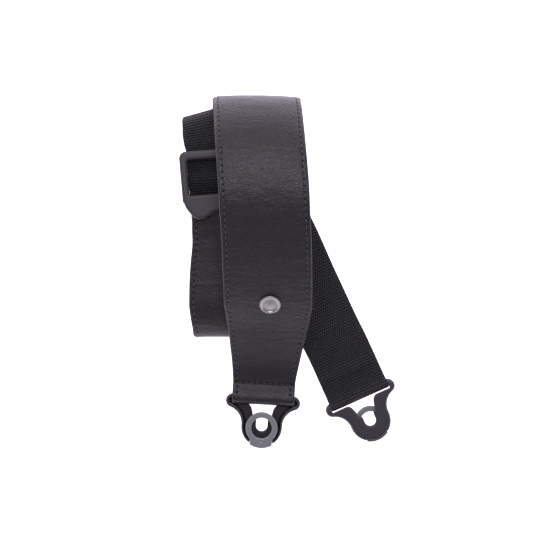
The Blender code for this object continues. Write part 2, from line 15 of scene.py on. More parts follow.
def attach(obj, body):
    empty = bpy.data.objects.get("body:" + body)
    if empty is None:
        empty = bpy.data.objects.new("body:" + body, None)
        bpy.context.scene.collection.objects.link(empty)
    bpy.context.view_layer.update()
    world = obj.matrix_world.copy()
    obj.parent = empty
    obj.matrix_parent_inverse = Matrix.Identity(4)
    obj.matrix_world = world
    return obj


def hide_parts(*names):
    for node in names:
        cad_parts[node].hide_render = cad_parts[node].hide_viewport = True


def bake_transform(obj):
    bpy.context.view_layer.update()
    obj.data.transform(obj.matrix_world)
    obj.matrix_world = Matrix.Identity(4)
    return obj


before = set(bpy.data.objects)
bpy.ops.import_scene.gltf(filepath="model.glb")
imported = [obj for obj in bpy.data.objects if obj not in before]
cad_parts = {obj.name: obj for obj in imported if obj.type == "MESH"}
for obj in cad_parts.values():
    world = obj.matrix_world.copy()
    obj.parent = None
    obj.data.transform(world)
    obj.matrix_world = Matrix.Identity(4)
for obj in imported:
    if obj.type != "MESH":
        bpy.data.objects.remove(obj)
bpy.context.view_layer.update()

MM = 0.001
GAP = 0.3

# Strap layers
LEATHER_WIDTH = 68.6
END_WIDTH = 50.0
TAPER_LENGTH = 72.0
FACE_THICKNESS = 1.5
LINING_THICKNESS = 1.2
WEBBING_WIDTH = 50.0
WEBBING_THICKNESS = 1.5
STITCH_TO_BAR = 12.7
RETURN_LENGTH = 17.5
LINING_START = 18.6
FRONT_LOOP = 3.8
FRONT_LOOP_RISE = 1.05
ADJUSTER_LOOP = 2.15
REAR_LOOP = 3.75
LAYOUT_SHIFT = np.array((-1.01, 0.97, 0.0))

# Folds of the leather seen from the side: (y, z) of the centre, and the reach in y and z
ROLL_OVER = (62.0, 20.0), (76.0, 56.0)
ROLL_UNDER = (119.8, 20.0), (18.2, 18.2)
LOWER_FOLD = (-41.15, 9.5), (9.5, 7.5)

# Upper fold of the webbing: its centre, its turn in plan, and its reach outwards and up
UPPER_FOLD = (-55.1, 115.3, 17.5)
UPPER_FOLD_TURN = 15.5
UPPER_FOLD_REACH = (14.5, 13.2)

# Connector, in its own frame: x along the bar, y towards the strap, z out of its front
BAR_RADIUS = 2.0
BACK_Z = -4.0
PLATE_Z = -0.8
RIM_Z = 2.8
EAR_CENTRE = (24.4, -3.1)
EAR_RADIUS = 5.6
ROUND_CENTRE = (0.0, -23.1)
ROUND_RADIUS = 16.5
FLARE_RADIUS = 14.0
RIM_WIDTH = 1.6
EAR_RIM_WIDTH = 2.6
GROOVE_WIDTH = 1.3
GROOVE_DEPTH = 1.1
SLOT_HALF = 25.15
SHOULDER_Y = -5.15
MOUTH_HALF = 12.6
THROAT = (7.6, -14.4)
SEAT_START_Y = -18.0
SEAT_Y = -22.4
SEAT_RADIUS = 4.6
RECESS_Y = -32.6
RECESS_FLOOR = 1.0

# Latch ring, in the connector's frame
RING_Y = -24.2
RING_RADIUS = 12.85
RING_HOLE = 8.3
RING_Z = (-0.45, 3.9)
TAB_HALF = 9.05
TAB_RADIUS = 17.3
PIN_Y = -35.0
PIN_Z = 1.3
PIN_RADIUS = 0.8
PIN_HALF = 10.2
SPRING_POCKET_HALF = 3.4
COIL_RADIUS = 1.45
SPRING_WIRE = 0.25
SPRING_TURNS = 4

# Adjuster frame, in its own frame: x along the lower bar, y towards its top bar, z outwards
WINDOW_HALF = 25.9
WINDOW_Y = (4.2, 32.5)
WINDOW_CORNER = 2.5
FRAME_HALF = 31.7
FRAME_TOP = 39.2
FRAME_CORNER = 5.5
RAIL_INSET = 0.4
RAIL_END = -0.5
RAIL_Z = (-2.9, 6.2)
SHIELD_Z = 4.2
TOP_BAR_Z = 0.8
CENTRE_BAR = (18.2, -0.7)
LOBE_TIP = (17.8, -14.8)
SHIELD_WAIST = -8.6

# Rivet
RIVET_PLACE = 1.6
CAP_RADIUS = 8.2
POST_RADIUS = 1.6
BACK_CAP_RADIUS = 5.5

# Sewing and weave
STITCH_PITCH = 4.8
STITCH_LENGTH = 3.7
EDGE_LINE = 3.5
SEAM_SHIFT = 0.9
THREAD_RADIUS = 0.36
RIB_PITCH = 2.25
YARN_PITCH = 1.85

# The webbing lies this far to the left in the adjuster, against its rail
RUN_SHIFT = 0.75

# Distances out from the bar at which points beside it are found
LOOP_BLEND = (4.5, -1.0)

# Distance between the rows of points along each layer
FACE_STEP = 0.6
LINING_STEP = 1.2
WEBBING_STEP = 0.4

# Camera, floor and studio
CAMERA_PLACE = (-17.81, 5.17, 1170.0)
CAMERA_LENS = 97.6
FLOOR_SIZE_M = 8.0
FLOOR_GLOW = 1.55
STUDIO_FRONT, STUDIO_BEHIND = 1.4, 2.05

# Share of red, green and blue in the studio light
LIGHT_TINT = (0.96, 0.89, 1.03)


# ---------------------------------------------------------------- curves and outlines

def natural_spline(knots, rows, places):
    """Values at places of the natural cubic curve that takes the given rows at the knots."""
    gaps = np.diff(knots)
    count = len(knots)
    system = np.eye(count)
    right = np.zeros((count, rows.shape[1]))
    for i in range(1, count - 1):
        system[i, i - 1:i + 2] = gaps[i - 1], 2 * (gaps[i - 1] + gaps[i]), gaps[i]
        right[i] = 6 * ((rows[i + 1] - rows[i]) / gaps[i] - (rows[i] - rows[i - 1]) / gaps[i - 1])
    bends = np.linalg.solve(system, right)
    span = np.clip(np.searchsorted(knots, places, side="right") - 1, 0, count - 2)
    gap = gaps[span][:, None]
    ahead = (places - knots[span])[:, None]
    behind = gap - ahead
    return (
        (bends[span] * behind ** 3 + bends[span + 1] * ahead ** 3) / (6 * gap)
        + (rows[span] / gap - bends[span] * gap / 6) * behind
        + (rows[span + 1] / gap - bends[span + 1] * gap / 6) * ahead
    )


def bezier(start, pull, end, count=12):
    """Points of a quadratic curve, without its first one."""
    points = []
    for i in range(1, count + 1):
        t = i / count
        points.append(tuple(
            (1 - t) ** 2 * a + 2 * t * (1 - t) * b + t * t * c for a, b, c in zip(start, pull, end)
        ))
    return points


def oval(centre, reach, angles):
    """Points round a centre at the given angles in degrees, with a reach for each of the two ways."""
    return [(centre[0] + reach[0] * math.cos(angle), centre[1] + reach[1] * math.sin(angle))
            for angle in map(math.radians, angles)]


def arc(centre, radius, start, end, count):
    """Points from start to end degrees round a centre, both ends included."""
    return oval(centre, (radius, radius), [start + (end - start) * i / count for i in range(count + 1)])


def direction(start, end):
    return math.degrees(math.atan2(end[1] - start[1], end[0] - start[0]))


def mirrored(half):
    """A closed outline from its right half, which runs from the top to the bottom on x = 0."""
    left = [(-x, y) for x, y in reversed(half) if x > 0.001]
    return half + left


def bump_at(values, centre, width):
    """A smooth bell of height 1 at the centre."""
    return np.exp(-((values - centre) / width) ** 2)


def cloud(u, v, cell_u, cell_v, seed):
    """Smooth repeatable noise from -1 to 1 over two lengths, with cells of the given sizes."""
    size = 256
    lattice = np.random.default_rng(seed).uniform(-1, 1, (size, size))
    x, y = u / cell_u + 31.7, v / cell_v + 17.3
    i, j = np.floor(x).astype(int), np.floor(y).astype(int)
    fx, fy = x - i, y - j
    fx, fy = fx * fx * (3 - 2 * fx), fy * fy * (3 - 2 * fy)

    def corner(a, b):
        return lattice[(i + a) % size, (j + b) % size]

    low = corner(0, 0) * (1 - fx) + corner(1, 0) * fx
    high = corner(0, 1) * (1 - fx) + corner(1, 1) * fx
    return low * (1 - fy) + high * fy


# ---------------------------------------------------------------- routes of the strap

class Route:
    """A smooth curve through rows (x, y, z, turn, roll), read by distance along the strap."""

    def __init__(self, rows, step=0.25):
        rows = np.array(rows, dtype=float)
        rows[:, :3] += LAYOUT_SHIFT
        chords = np.linalg.norm(np.diff(rows[:, :3], axis=0), axis=1)
        knots = np.concatenate([[0], np.cumsum(chords)])
        places = np.linspace(0, knots[-1], int(knots[-1] / step) + 1)
        self.rows = natural_spline(knots, rows, places)
        steps = np.linalg.norm(np.diff(self.rows[:, :3], axis=0), axis=1)
        self.distance = np.concatenate([[0], np.cumsum(steps)])
        self.length = self.distance[-1]
        self.marks = np.interp(knots, places, self.distance)
        self.forward = np.gradient(self.rows[:, :3], self.distance, axis=0)

    def at(self, s):
        """Middle points, forward directions, directions across and outward normals at distances s."""
        row = np.column_stack([np.interp(s, self.distance, column) for column in self.rows.T])
        forward = np.column_stack([np.interp(s, self.distance, column) for column in self.forward.T])
        forward /= np.linalg.norm(forward, axis=1)[:, None]
        turn, roll = np.radians(row[:, 3]), np.radians(row[:, 4])
        across = np.column_stack([np.cos(turn) * np.cos(roll), np.sin(turn) * np.cos(roll), np.sin(roll)])
        normal = np.cross(across, forward)
        normal /= np.linalg.norm(normal, axis=1)[:, None]
        return row[:, :3], forward, across, normal

    def points(self, s, x, h):
        """Points at distances s, with rows of places x across and heights h, and the normals there."""
        middle, forward, across, normal = self.at(s)
        across = across / np.sqrt(1 - (forward * across).sum(axis=1) ** 2)[:, None]
        return middle[:, None] + across[:, None] * x[..., None] + normal[:, None] * h[..., None], normal


class Bar:
    """A bar that a strap goes round: the middle of its axis, and its turn in plan in degrees."""

    def __init__(self, x, y, z, turn):
        self.place = (x, y, z)
        self.turn = turn
        self.angle = math.radians(turn)

    def rows(self, points, shift=0.0):
        """Route rows for points (out, up) from the axis, out to its +y side, shifted to the left."""
        x, y, z = self.place
        return [(x - shift - out * math.sin(self.angle), y + out * math.cos(self.angle), z + up, self.turn, 0)
                for out, up in points]

    def beside(self, *outs):
        """Points in metres at the given distances out from the axis, level with it."""
        out = Vector((-math.sin(self.angle), math.cos(self.angle), 0))
        return [(Vector(self.place) + Vector(LAYOUT_SHIFT) + out * distance) * MM for distance in outs]

    def frame(self, flipped=False):
        """The matrix from the bar's own frame to the world, in metres."""
        turning = Matrix.Rotation(self.angle, 4, "Z")
        if flipped:
            turning = turning @ Matrix.Rotation(math.pi, 4, "Y")
        return Matrix.Translation((Vector(self.place) + Vector(LAYOUT_SHIFT)) * MM) @ turning


FRONT_BAR = Bar(-19.4, -101.8, 4.05, -3.3)
REAR_BAR = Bar(57.55, -98.9, 3.95, 24.0)
ADJUSTER_BAR = Bar(-51.3, 57.2, 33.4, 4.3)


def leather_route():
    """From the front loop's sewn end, round its bar, along the spiral, and round the adjuster's bar."""
    front = [(RETURN_LENGTH, 1.4), (STITCH_TO_BAR, 0.85), (7.0, -0.9)]
    front += arc((0, FRONT_LOOP_RISE), FRONT_LOOP, -75, -285, 6)
    front += [(7.0, 2.7), (STITCH_TO_BAR, 1.15)]
    rows = FRONT_BAR.rows(front)
    front_stitch = len(rows) - 1
    rows += [
        (-18.3, -83.0, 6.1, -3.2, 0), (-17.6, -74.0, 9.8, -3.0, 0), (-16.8, -60.0, 17.9, -2.5, 0),
        (-16.0, -48.0, 25.7, -2.0, 0), (-15.6, -37.0, 33.4, -1.6, 0), (-15.6, -24.0, 42.6, -1.3, 0),
        (-16.1, 0.0, 56.1, -0.9, 0), (-16.5, 15.0, 63.2, -0.8, 0), (-17.1, 30.0, 69.0, -0.8, 0),
        (-17.9, 44.0, 73.4, -0.8, 0), (-18.5, 58.0, 75.8, -0.9, 0),
    ]
    rivet = len(rows) - 6
    rows += [(-18.3 - 6.0 * (y - 58) / 80, y, z, -0.9, 0)
             for y, z in oval(*ROLL_OVER, (82, 68, 54, 40, 26, 12, 0))]
    rows += [(-25.3 - 0.4 * i, y, z, -0.9, 0)
             for i, (y, z) in enumerate(oval(*ROLL_UNDER, (-20, -40, -60, -78)))]
    rows += [
        (-27.2, 111.0, 1.98, -0.8, 0), (-28.0, 101.0, 1.9, -0.7, 0), (-31.0, 60.0, 1.9, -0.4, 0),
        (-35.0, 5.0, 1.9, 0.2, 0), (-36.8, -22.0, 1.9, 0.5, 0), (-37.5, -33.5, 1.98, 0.5, 0),
    ]
    rows += [(-38.2 - 0.45 * i, y, z, 0.5, 0)
             for i, (y, z) in enumerate(oval(*LOWER_FOLD, (-100, -130, -160, -185)))]
    rows += [
        (-40.6, -48.2, 14.2, 0.6, 0), (-41.4, -43.4, 18.2, 0.7, 0), (-42.3, -37.0, 21.7, 0.8, 0),
        (-43.2, -30.0, 24.1, 1.0, 0), (-44.2, -22.0, 25.5, 1.3, 0), (-46.0, -8.0, 26.5, 1.9, 0),
        (-47.4, 10.0, 27.6, 2.7, 0), (-48.4, 28.0, 29.3, 3.5, 0),
    ]
    rear = [(-20.0, -2.8), (-STITCH_TO_BAR, -1.2), (-6.5, 0.9)]
    rear += arc((0, 0), ADJUSTER_LOOP, 105, -105, 6)
    rear += [(-6.5, -2.0), (-STITCH_TO_BAR, -1.6), (-RETURN_LENGTH, -2.55)]
    rear_stitch = len(rows) + 1
    rows += ADJUSTER_BAR.rows(rear)
    return Route(rows), front_stitch, rivet, rear_stitch


def webbing_route():
    """From the free tail through the adjuster, over the upper fold, under the spiral, round the rear bar."""
    run = [
        (39.2, -0.35), (34.2, -1.0), (27.2, 0.3), (CENTRE_BAR[0], 2.6), (9.8, -1.9),
        (2.0, -4.9), (-4.0, -5.3), (-12.0, -5.4), (-25.0, -6.9), (-40.0, -9.6), (-55.0, -12.3),
    ]
    run += arc((-55.8, -13.5), 1.0, 110, 250, 4)
    run += [(-47.5, -13.0)]
    run.reverse()
    rows = ADJUSTER_BAR.rows(run, RUN_SHIFT)
    under_loop = len(rows) - 6
    above_frame = len(rows)
    rows += [(-56.4, 102.4, 32.9, 6.4, 0), (-57.8, 109.0, 31.9, 9.0, 0)]
    x, y, z = UPPER_FOLD
    cosine, sine = math.cos(math.radians(UPPER_FOLD_TURN)), math.sin(math.radians(UPPER_FOLD_TURN))
    for a in (10, 35, 60, 85, 110, 135, 160, 180):
        share, angle = a / 180, math.radians(a)
        reach = UPPER_FOLD_REACH[0] * math.sin(angle)
        drift = -3.1 + 7.4 * share
        rows.append((
            x - reach * sine + drift * cosine, y + reach * cosine + drift * sine,
            z + UPPER_FOLD_REACH[1] * math.cos(angle), 12 + 7 * share, 1.6 * math.sin(angle),
        ))
    rows += [
        (-47.3, 110.6, 4.3, 20.5, 0), (-40.0, 97.0, 4.3, 23.0, 0), (-25.0, 71.0, 4.35, 26.0, 0),
        (-7.0, 40.0, 4.5, 26.0, -0.8), (4.0, 17.5, 4.4, 25.5, -2.0), (14.0, -5.0, 3.9, 25.0, -2.9),
        (24.0, -26.5, 2.8, 25.0, -2.4), (35.0, -50.0, 1.3, 24.5, -0.8), (41.0, -62.0, 1.0, 24.2, 0),
    ]
    loop = [(32.0, -2.6), (25.0, -1.3), (18.0, -1.2), (11.0, -0.8), (5.5, 1.4)]
    loop += arc((0, 0), REAR_LOOP, 75, 285, 6)
    loop += [(6.0, -3.1), (12.0, -3.1), (24.0, -3.1)]
    stitch = len(rows) + 2
    rows += REAR_BAR.rows(loop)
    return Route(rows), under_loop, above_frame, stitch


# ---------------------------------------------------------------- materials

class Value:
    """One shader value. A sum or product of values adds the math node for it."""

    def __init__(self, look, socket):
        self.look = look
        self.socket = socket

    def __add__(self, other):
        return self.look.math("ADD", self, other)

    def __sub__(self, other):
        return self.look.math("SUBTRACT", self, other)

    def __rsub__(self, other):
        return self.look.math("SUBTRACT", other, self)

    def __mul__(self, other):
        return self.look.math("MULTIPLY", self, other)

    def __pow__(self, other):
        return self.look.math("POWER", self, other)

    def __abs__(self):
        return self.look.math("ABSOLUTE", self)

    def ramp(self, start, end, low=0.0, high=1.0, steps="SMOOTHSTEP"):
        """How far this value has come from start to end, as low to high."""
        return self.look.add("MapRange", {
            "Value": self, "From Min": start, "From Max": end, "To Min": low, "To Max": high
        }, interpolation_type=steps)

    def spread(self, low, high):
        """A 0 to 1 value spread evenly over low to high."""
        return self.ramp(0.0, 1.0, low, high, "LINEAR")


class Look:
    """A node material that starts as one Principled shader."""

    def __init__(self, name, **plain):
        self.material = bpy.data.materials.new(name)
        self.material.use_nodes = True
        self.tree = self.material.node_tree
        self.shader = self.tree.nodes["Principled BSDF"]
        self.feed(self.shader, plain)

    def feed(self, node, inputs):
        for name, value in inputs.items():
            socket = node.inputs[name.replace("_", " ") if isinstance(name, str) else name]
            if isinstance(value, Value):
                self.tree.links.new(value.socket, socket)
            else:
                socket.default_value = value

    def finish(self, colour, roughness, normal):
        self.feed(self.shader, {"Base Color": colour, "Roughness": roughness, "Normal": normal})
        return self.material

    def add(self, kind, inputs, output=0, **settings):
        """One output of a new node."""
        node = self.tree.nodes.new("ShaderNode" + kind)
        for name, value in settings.items():
            setattr(node, name, value)
        self.feed(node, inputs)
        return Value(self, node.outputs[output])

    def math(self, operation, *inputs):
        return self.add("Math", dict(enumerate(inputs)), operation=operation)

    def mix(self, share, low, high):
        """Colour between low and high by a share."""
        return self.add("Mix", {0: share, 6: low, 7: high}, 2, data_type="RGBA")

    def noise(self, where, cell, detail=3.0, rough=0.55, output="Fac"):
        """Noise from 0 to 1 with features of about one cell, in millimetres."""
        return self.add("TexNoise", {
            "Vector": where, "Scale": 1 / (cell * MM), "Detail": detail, "Roughness": rough
        }, output)

    def cells(self, where, cell, feature):
        inputs = {"Vector": where, "Scale": 1 / (cell * MM)}
        return self.add("TexVoronoi", inputs, "Distance", feature=feature)

    def bumps(self, *layers):
        """The normal of (height from 0 to 1, depth in millimetres) layers, the lowest first."""
        below = {}
        for height, depth in layers:
            inputs = {"Height": height, "Strength": 1.0, "Distance": depth * MM, **below}
            below["Normal"] = self.add("Bump", inputs)
        return below["Normal"]

    def object_place(self):
        """The place in the object's own frame, in metres."""
        return self.add("TexCoord", {}, "Object")

    def strap_place(self, layer="strap"):
        """(across, along) in metres on a strap's skin, or (in from the edge, along) from the edge layer."""
        return self.add("UVMap", {}, uv_map=layer)

    def stretched(self, where, across, along=1.0):
        return self.add("Mapping", {"Vector": where, "Scale": (across, along, 1.0)})

    def parts(self, where):
        """The first two coordinates of a place."""
        return [self.add("SeparateXYZ", {0: where}, axis) for axis in (0, 1)]


def grey(value, tint=(1.0, 0.97, 1.06)):
    return (*(value * part for part in tint), 1)


def needle_holes(look, from_line, along):
    """1 in the small dark holes that lie every stitch along a line, 0 elsewhere. Lengths in metres."""
    apart = look.math("PINGPONG", along, STITCH_PITCH * MM / 2)
    away = look.math("SQRT", from_line ** 2.0 + apart ** 2.0)
    return away.ramp(0.35 * MM, 0.95 * MM, 1.0, 0.0)


def seam_shade(from_line, width):
    """1 along a line and 0 from a width away."""
    return from_line.ramp(0.2 * MM, width * MM, 1.0, 0.0)


def holes_and_seam_shade(look, seams):
    """(needle holes, painted shade along the stitch lines) of the edge stitching and of the seams across at
    the given distances.
    """
    inward, along = look.parts(look.strap_place("edge"))
    across, distance = look.parts(look.strap_place())
    from_line = abs(inward - EDGE_LINE * MM)
    holes = needle_holes(look, from_line, along)
    lines = seam_shade(from_line, 1.0) * 0.35
    across = across + STITCH_PITCH * MM / 2
    for seam in seams:
        away = abs(distance - seam * MM)
        holes = look.math("MAXIMUM", holes, needle_holes(look, away, across))
        lines = look.math("MAXIMUM", lines, seam_shade(away, 1.5))
    return holes, lines


def leather_look(seams):
    """Black satin leather: pebbles, grain, creases, needle holes, slow changes of colour and gloss, and
    painted shade in the needle holes and along the stitch lines and seams.
    """
    look = Look("face_leather_look")
    where = look.strap_place()
    pebble = look.cells(where, 1.15, "SMOOTH_F1")
    pores = look.noise(where, 0.5, 4.0)
    patches = look.noise(where, 16.0)
    scuffs = look.noise(where, 4.0, 5.0, 0.7)
    warp = look.noise(where, 5.0, 3.0, 0.5, "Color")
    bend = look.add("VectorMath", {0: warp, "Scale": 5.0 * MM}, operation="SCALE")
    bent = look.stretched(look.add("VectorMath", {0: where, 1: bend}, operation="ADD"), 0.45)
    fine, coarse = (look.cells(bent, cell, "DISTANCE_TO_EDGE").ramp(0.0, 0.14) for cell in (3.4, 8.0))
    grain = look.noise(look.stretched(where, 0.5), 1.3, 2.0).ramp(0.36, 0.64)
    holes, lines = holes_and_seam_shade(look, seams)
    colour = look.mix(patches, grey(0.0065), grey(0.0110))
    colour = look.mix(pebble.spread(0.0, 0.4), colour, grey(0.008))
    # Painted shade: the stitch channels and cross seams are darker in colour.
    colour = look.mix(lines * 0.8, colour, grey(0.002))
    colour = look.mix(grain * 0.3, colour, grey(0.020))
    # Painted shade: the needle holes are near black in colour.
    colour = look.mix(holes, colour, grey(0.0006))
    roughness = patches.spread(0.38, 0.48) + scuffs.spread(-0.05, 0.07)
    roughness = look.math("MAXIMUM", roughness, look.math("MAXIMUM", holes, lines) * 0.85) - grain * 0.05
    normal = look.bumps((grain, 0.10), (fine * coarse, 0.075), (pores, 0.08), (pebble, 0.15),
                        (1.0 - holes, 0.55))
    return look.finish(colour, roughness, normal)


def edge_look():
    """Raw cut edge of leather: fibrous, dyed dark, with lighter fibres showing."""
    look = Look("leather_edge_look")
    fibres = look.noise(look.stretched(look.strap_place(), 3.0, 0.5), 0.6, 4.0)
    colour = look.mix(fibres, grey(0.011), grey(0.038, (1.0, 0.96, 0.96)))
    return look.finish(colour, fibres.spread(0.45, 0.7), look.bumps((fibres, 0.08)))


def suede_look():
    """Soft flesh side of the lining: matt, short nap, patchy where it has been brushed."""
    look = Look("lining_suede_look", Sheen_Weight=0.25, Sheen_Roughness=0.5)
    where = look.strap_place()
    nap = look.noise(where, 0.35, 4.0, 0.7)
    brushed = look.noise(where, 9.0, 4.0, 0.6)
    colour = look.mix(brushed, grey(0.016), grey(0.032))
    colour = look.mix(nap * 0.5, colour, grey(0.012))
    return look.finish(colour, brushed.spread(0.82, 0.95), look.bumps((nap, 0.12)))


def webbing_look():
    """Black woven webbing: crosswise ribs, each made of short yarns that step along by half a yarn, with
    painted shade that makes the grooves between them near black.
    """
    look = Look("webbing_look", Specular_IOR_Level=0.7, Sheen_Weight=0.07, Sheen_Roughness=0.3,
                Sheen_Tint=grey(0.8, (0.9, 0.95, 1.2)))
    where = look.strap_place()
    across, along = look.parts(where)
    rib = along * (1 / (RIB_PITCH * MM))
    yarn = across * (1 / (YARN_PITCH * MM)) + look.math("FLOOR", rib) * 0.5
    in_rib, in_yarn = (abs(look.math("SINE", count * math.pi)) for count in (rib, yarn))
    height = in_rib ** 1.2 * in_yarn ** 1.5
    fibres = look.noise(where, 0.25)
    dust = look.noise(where, 12.0, 4.0)
    # Painted shade: colour goes from near black in the grooves to the yarn's own tone on the tops.
    colour = look.mix(height, grey(0.0001), grey(0.010, (0.94, 0.98, 1.10)))
    colour = look.mix(dust * 0.15, colour, grey(0.010, (1.0, 1.0, 1.05)))
    roughness = height.spread(1.0, 0.27) + fibres.spread(-0.05, 0.05)
    return look.finish(colour, roughness, look.bumps((height, 0.75), (fibres, 0.04)))


def thread_look(name, value):
    """Bonded sewing thread with its twist."""
    look = Look(name)
    twist = look.add("TexWave", {"Vector": look.strap_place(), "Scale": 2.2, "Distortion": 0.3}, "Fac",
                     bands_direction="DIAGONAL")
    colour = look.mix(twist, grey(0.3 * value), grey(1.5 * value))
    return look.finish(colour, twist.spread(0.55, 0.38), look.bumps((twist, 0.06)))


def plastic_look(name, value, rough, tint, speckle=0.12):
    """Moulded plastic with a fine sparked texture, slow changes of gloss, painted highlights on convex edges,
    and painted shade in hollows and on the sunk plate round the keyhole.
    """
    look = Look(name)
    where = look.object_place()
    grain = look.noise(where, 0.22, 3.0, 0.6)
    flow = look.noise(where, 7.0)
    spots = look.noise(where, 1.1, 4.0, 0.75).spread(-speckle, 3 * speckle)
    ridge = look.add("NewGeometry", {}, "Pointiness")
    # Painted highlight: convex edges are lighter in colour, where light would catch the rounded bevels.
    edge_highlight = ridge.ramp(0.505, 0.56, steps="LINEAR") * 0.8
    # Painted shade: concave hollows are darker in colour, where shade falls.
    hollow_shade = ridge.ramp(0.495, 0.44, steps="LINEAR") * 0.8
    # Painted shade: the sunk plate marked by the recess attribute is darker in colour.
    recess = look.add("Attribute", {}, "Fac", attribute_name="recess") * 0.85
    colour = look.mix(flow, grey(value * 0.9, tint), grey(value * 1.1, tint))
    for share, tone in ((spots, 0.45 * value), (edge_highlight, 2.2 * value + 0.03), (hollow_shade, 0.2 * value),
                        (recess, 0.1 * value)):
        colour = look.mix(share, colour, grey(tone, tint))
    roughness = flow.spread(rough - 0.05, rough + 0.05) + grain.spread(-0.04, 0.04)
    return look.finish(colour, roughness, look.bumps((grain, 0.018)))


def nickel_look():
    """Antique nickel: bright where it is rubbed, darker in small pits."""
    look = Look("rivet_metal_look", Metallic=1.0)
    where = look.object_place()
    pits = look.noise(where, 0.9, 5.0, 0.65)
    wear = look.noise(where, 3.5, 4.0, 0.6)
    colour = look.mix(wear, (0.31, 0.305, 0.275, 1), (0.48, 0.475, 0.435, 1))
    colour = look.mix(pits.spread(-0.3, 0.5), colour, (0.20, 0.185, 0.18, 1))
    return look.finish(colour, pits.spread(0.28, 0.46), look.bumps((pits, 0.05)))


def steel_look():
    """Drawn steel wire with faint lines along it."""
    look = Look("pin_steel_look", Metallic=1.0)
    lines = look.noise(look.stretched(look.object_place(), 0.2), 0.15, 4.0)
    colour = look.mix(lines, (0.42, 0.42, 0.43, 1), (0.62, 0.62, 0.62, 1))
    return look.finish(colour, lines.spread(0.25, 0.4), look.bumps((lines, 0.01)))


# ---------------------------------------------------------------- pieces

def placed(name, data):
    """A new object in the scene for a mesh, curve, lamp or camera."""
    thing = bpy.data.objects.new(name, data)
    bpy.context.scene.collection.objects.link(thing)
    return thing


def finished_mesh(thing):
    """The object's mesh as its modifiers leave it; the object is removed."""
    graph = bpy.context.evaluated_depsgraph_get()
    mesh = bpy.data.meshes.new_from_object(thing.evaluated_get(graph), depsgraph=graph)
    bpy.data.objects.remove(thing)
    return mesh


def face_outwards(mesh):
    shape = bmesh.new()
    shape.from_mesh(mesh)
    bmesh.ops.recalc_face_normals(shape, faces=shape.faces)
    shape.to_mesh(mesh)
    shape.free()


def tube_faces(rows, loop):
    """Faces between rows of points that each close round, as numbers of the points."""
    index = np.arange(rows * loop).reshape(rows, loop)
    ahead = np.roll(index, -1, axis=1)
    return np.stack([index[:-1], index[1:], ahead[1:], ahead[:-1]], axis=-1).reshape(-1, 4)


def corner_points(mesh):
    """The number of the point at each face corner."""
    points = np.zeros(len(mesh.loops), np.int32)
    mesh.loops.foreach_get("vertex_index", points)
    return points


def store_uv(mesh, name, places):
    """Keeps one place for each face corner."""
    mesh.uv_layers.new(name=name).data.foreach_set("uv", places.astype(np.float32).ravel())


def finish_piece(name, mesh, looks, nodes=(), angle=40):
    """An object for a finished mesh, smooth shaded, named for the CAD nodes it stands for."""
    thing = placed(name, mesh)
    for look in looks:
        mesh.materials.append(look)
    mesh.shade_smooth()
    mesh.set_sharp_from_angle(angle=math.radians(angle))
    if nodes:
        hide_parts(*nodes)
    return thing


def strip_mesh(name, route, s, half, top, bottom, top_columns, edge_radius, kinds):
    """A closed strap layer with rounded edges.

    s holds the distances along the route and half the half widths there. top_columns holds the places
    of the columns across as (share of the half width, millimetres in from the edge). top and bottom
    give the heights of the two surfaces from (distance, place across, distance in from the edge).
    kinds holds the numbers of the looks on top, at the edges and below.
    """
    share, inset = np.array(top_columns).T
    places = half[:, None] * share - np.sign(share) * inset
    from_edge = half[:, None] - np.abs(places)
    distance = np.broadcast_to(s[:, None], places.shape)
    high = top(distance, places, from_edge)
    low = bottom(distance, places, from_edge)
    r = edge_radius

    def wall(side, sign):
        """Places and heights of five points from the top corner down to the bottom one, on one side."""
        up, down = high[:, side], low[:, side]
        outs = [0.35 * r, 0, -0.12, 0, 0.35 * r]
        heights = [up - 0.35 * r, up - r, (up + down) / 2, down + r, down + 0.35 * r]
        return [sign * (half - out) for out in outs], heights

    (right_x, right_h), (left_x, left_h) = wall(-1, 1), wall(0, -1)
    x = np.column_stack([places] + right_x + [places[:, ::-1]] + left_x[::-1])
    h = np.column_stack([high] + right_h + [low[:, ::-1]] + left_h[::-1])
    rows, loop = x.shape
    count = len(top_columns)
    faces = tube_faces(rows, loop)
    caps = [tuple(range(loop)), tuple(reversed(range((rows - 1) * loop, rows * loop)))]
    mesh = bpy.data.meshes.new(name)
    mesh.from_pydata((route.points(s, x, h)[0].reshape(-1, 3) * MM).tolist(), [], faces.tolist() + caps)
    kind = np.full(loop, kinds[1])
    kind[:count - 1] = kinds[0]
    kind[count + 5:2 * count + 4] = kinds[2]
    kind = np.concatenate([np.tile(kind, rows - 1), [kinds[1], kinds[1]]])
    mesh.polygons.foreach_set("material_index", kind.astype(np.int32))
    round_up = np.concatenate([[0], np.cumsum(np.hypot(np.diff(x[rows // 2]), np.diff(h[rows // 2])))])
    round_up -= round_up[count // 2]
    lap = round_up[-1] - round_up[0] + 0.5
    along = np.repeat(s, loop) * MM
    points = corner_points(mesh)
    where = np.column_stack([np.tile(round_up, rows) * MM, along])[points]
    quads = where[:len(faces) * 4].reshape(-1, 4, 2)
    quads[loop - 1::loop, 2:, 0] += lap * MM
    store_uv(mesh, "strap", where)
    walls = np.zeros((rows, 5))
    inward = np.concatenate([from_edge, walls, from_edge[:, ::-1], walls], axis=1)
    store_uv(mesh, "edge", np.column_stack([inward.ravel() * MM, along])[points])
    face_outwards(mesh)
    return mesh


def columns(near_edge, inner):
    """Columns across a strap: the same closely spaced ones at both edges, and even ones between."""
    left = [(-1, inset) for inset in near_edge]
    middle = [(share, near_edge[-1] * abs(share)) for share in np.linspace(-1, 1, inner + 2)[1:-1]]
    return left + middle + [(1, inset) for inset in reversed(near_edge)]


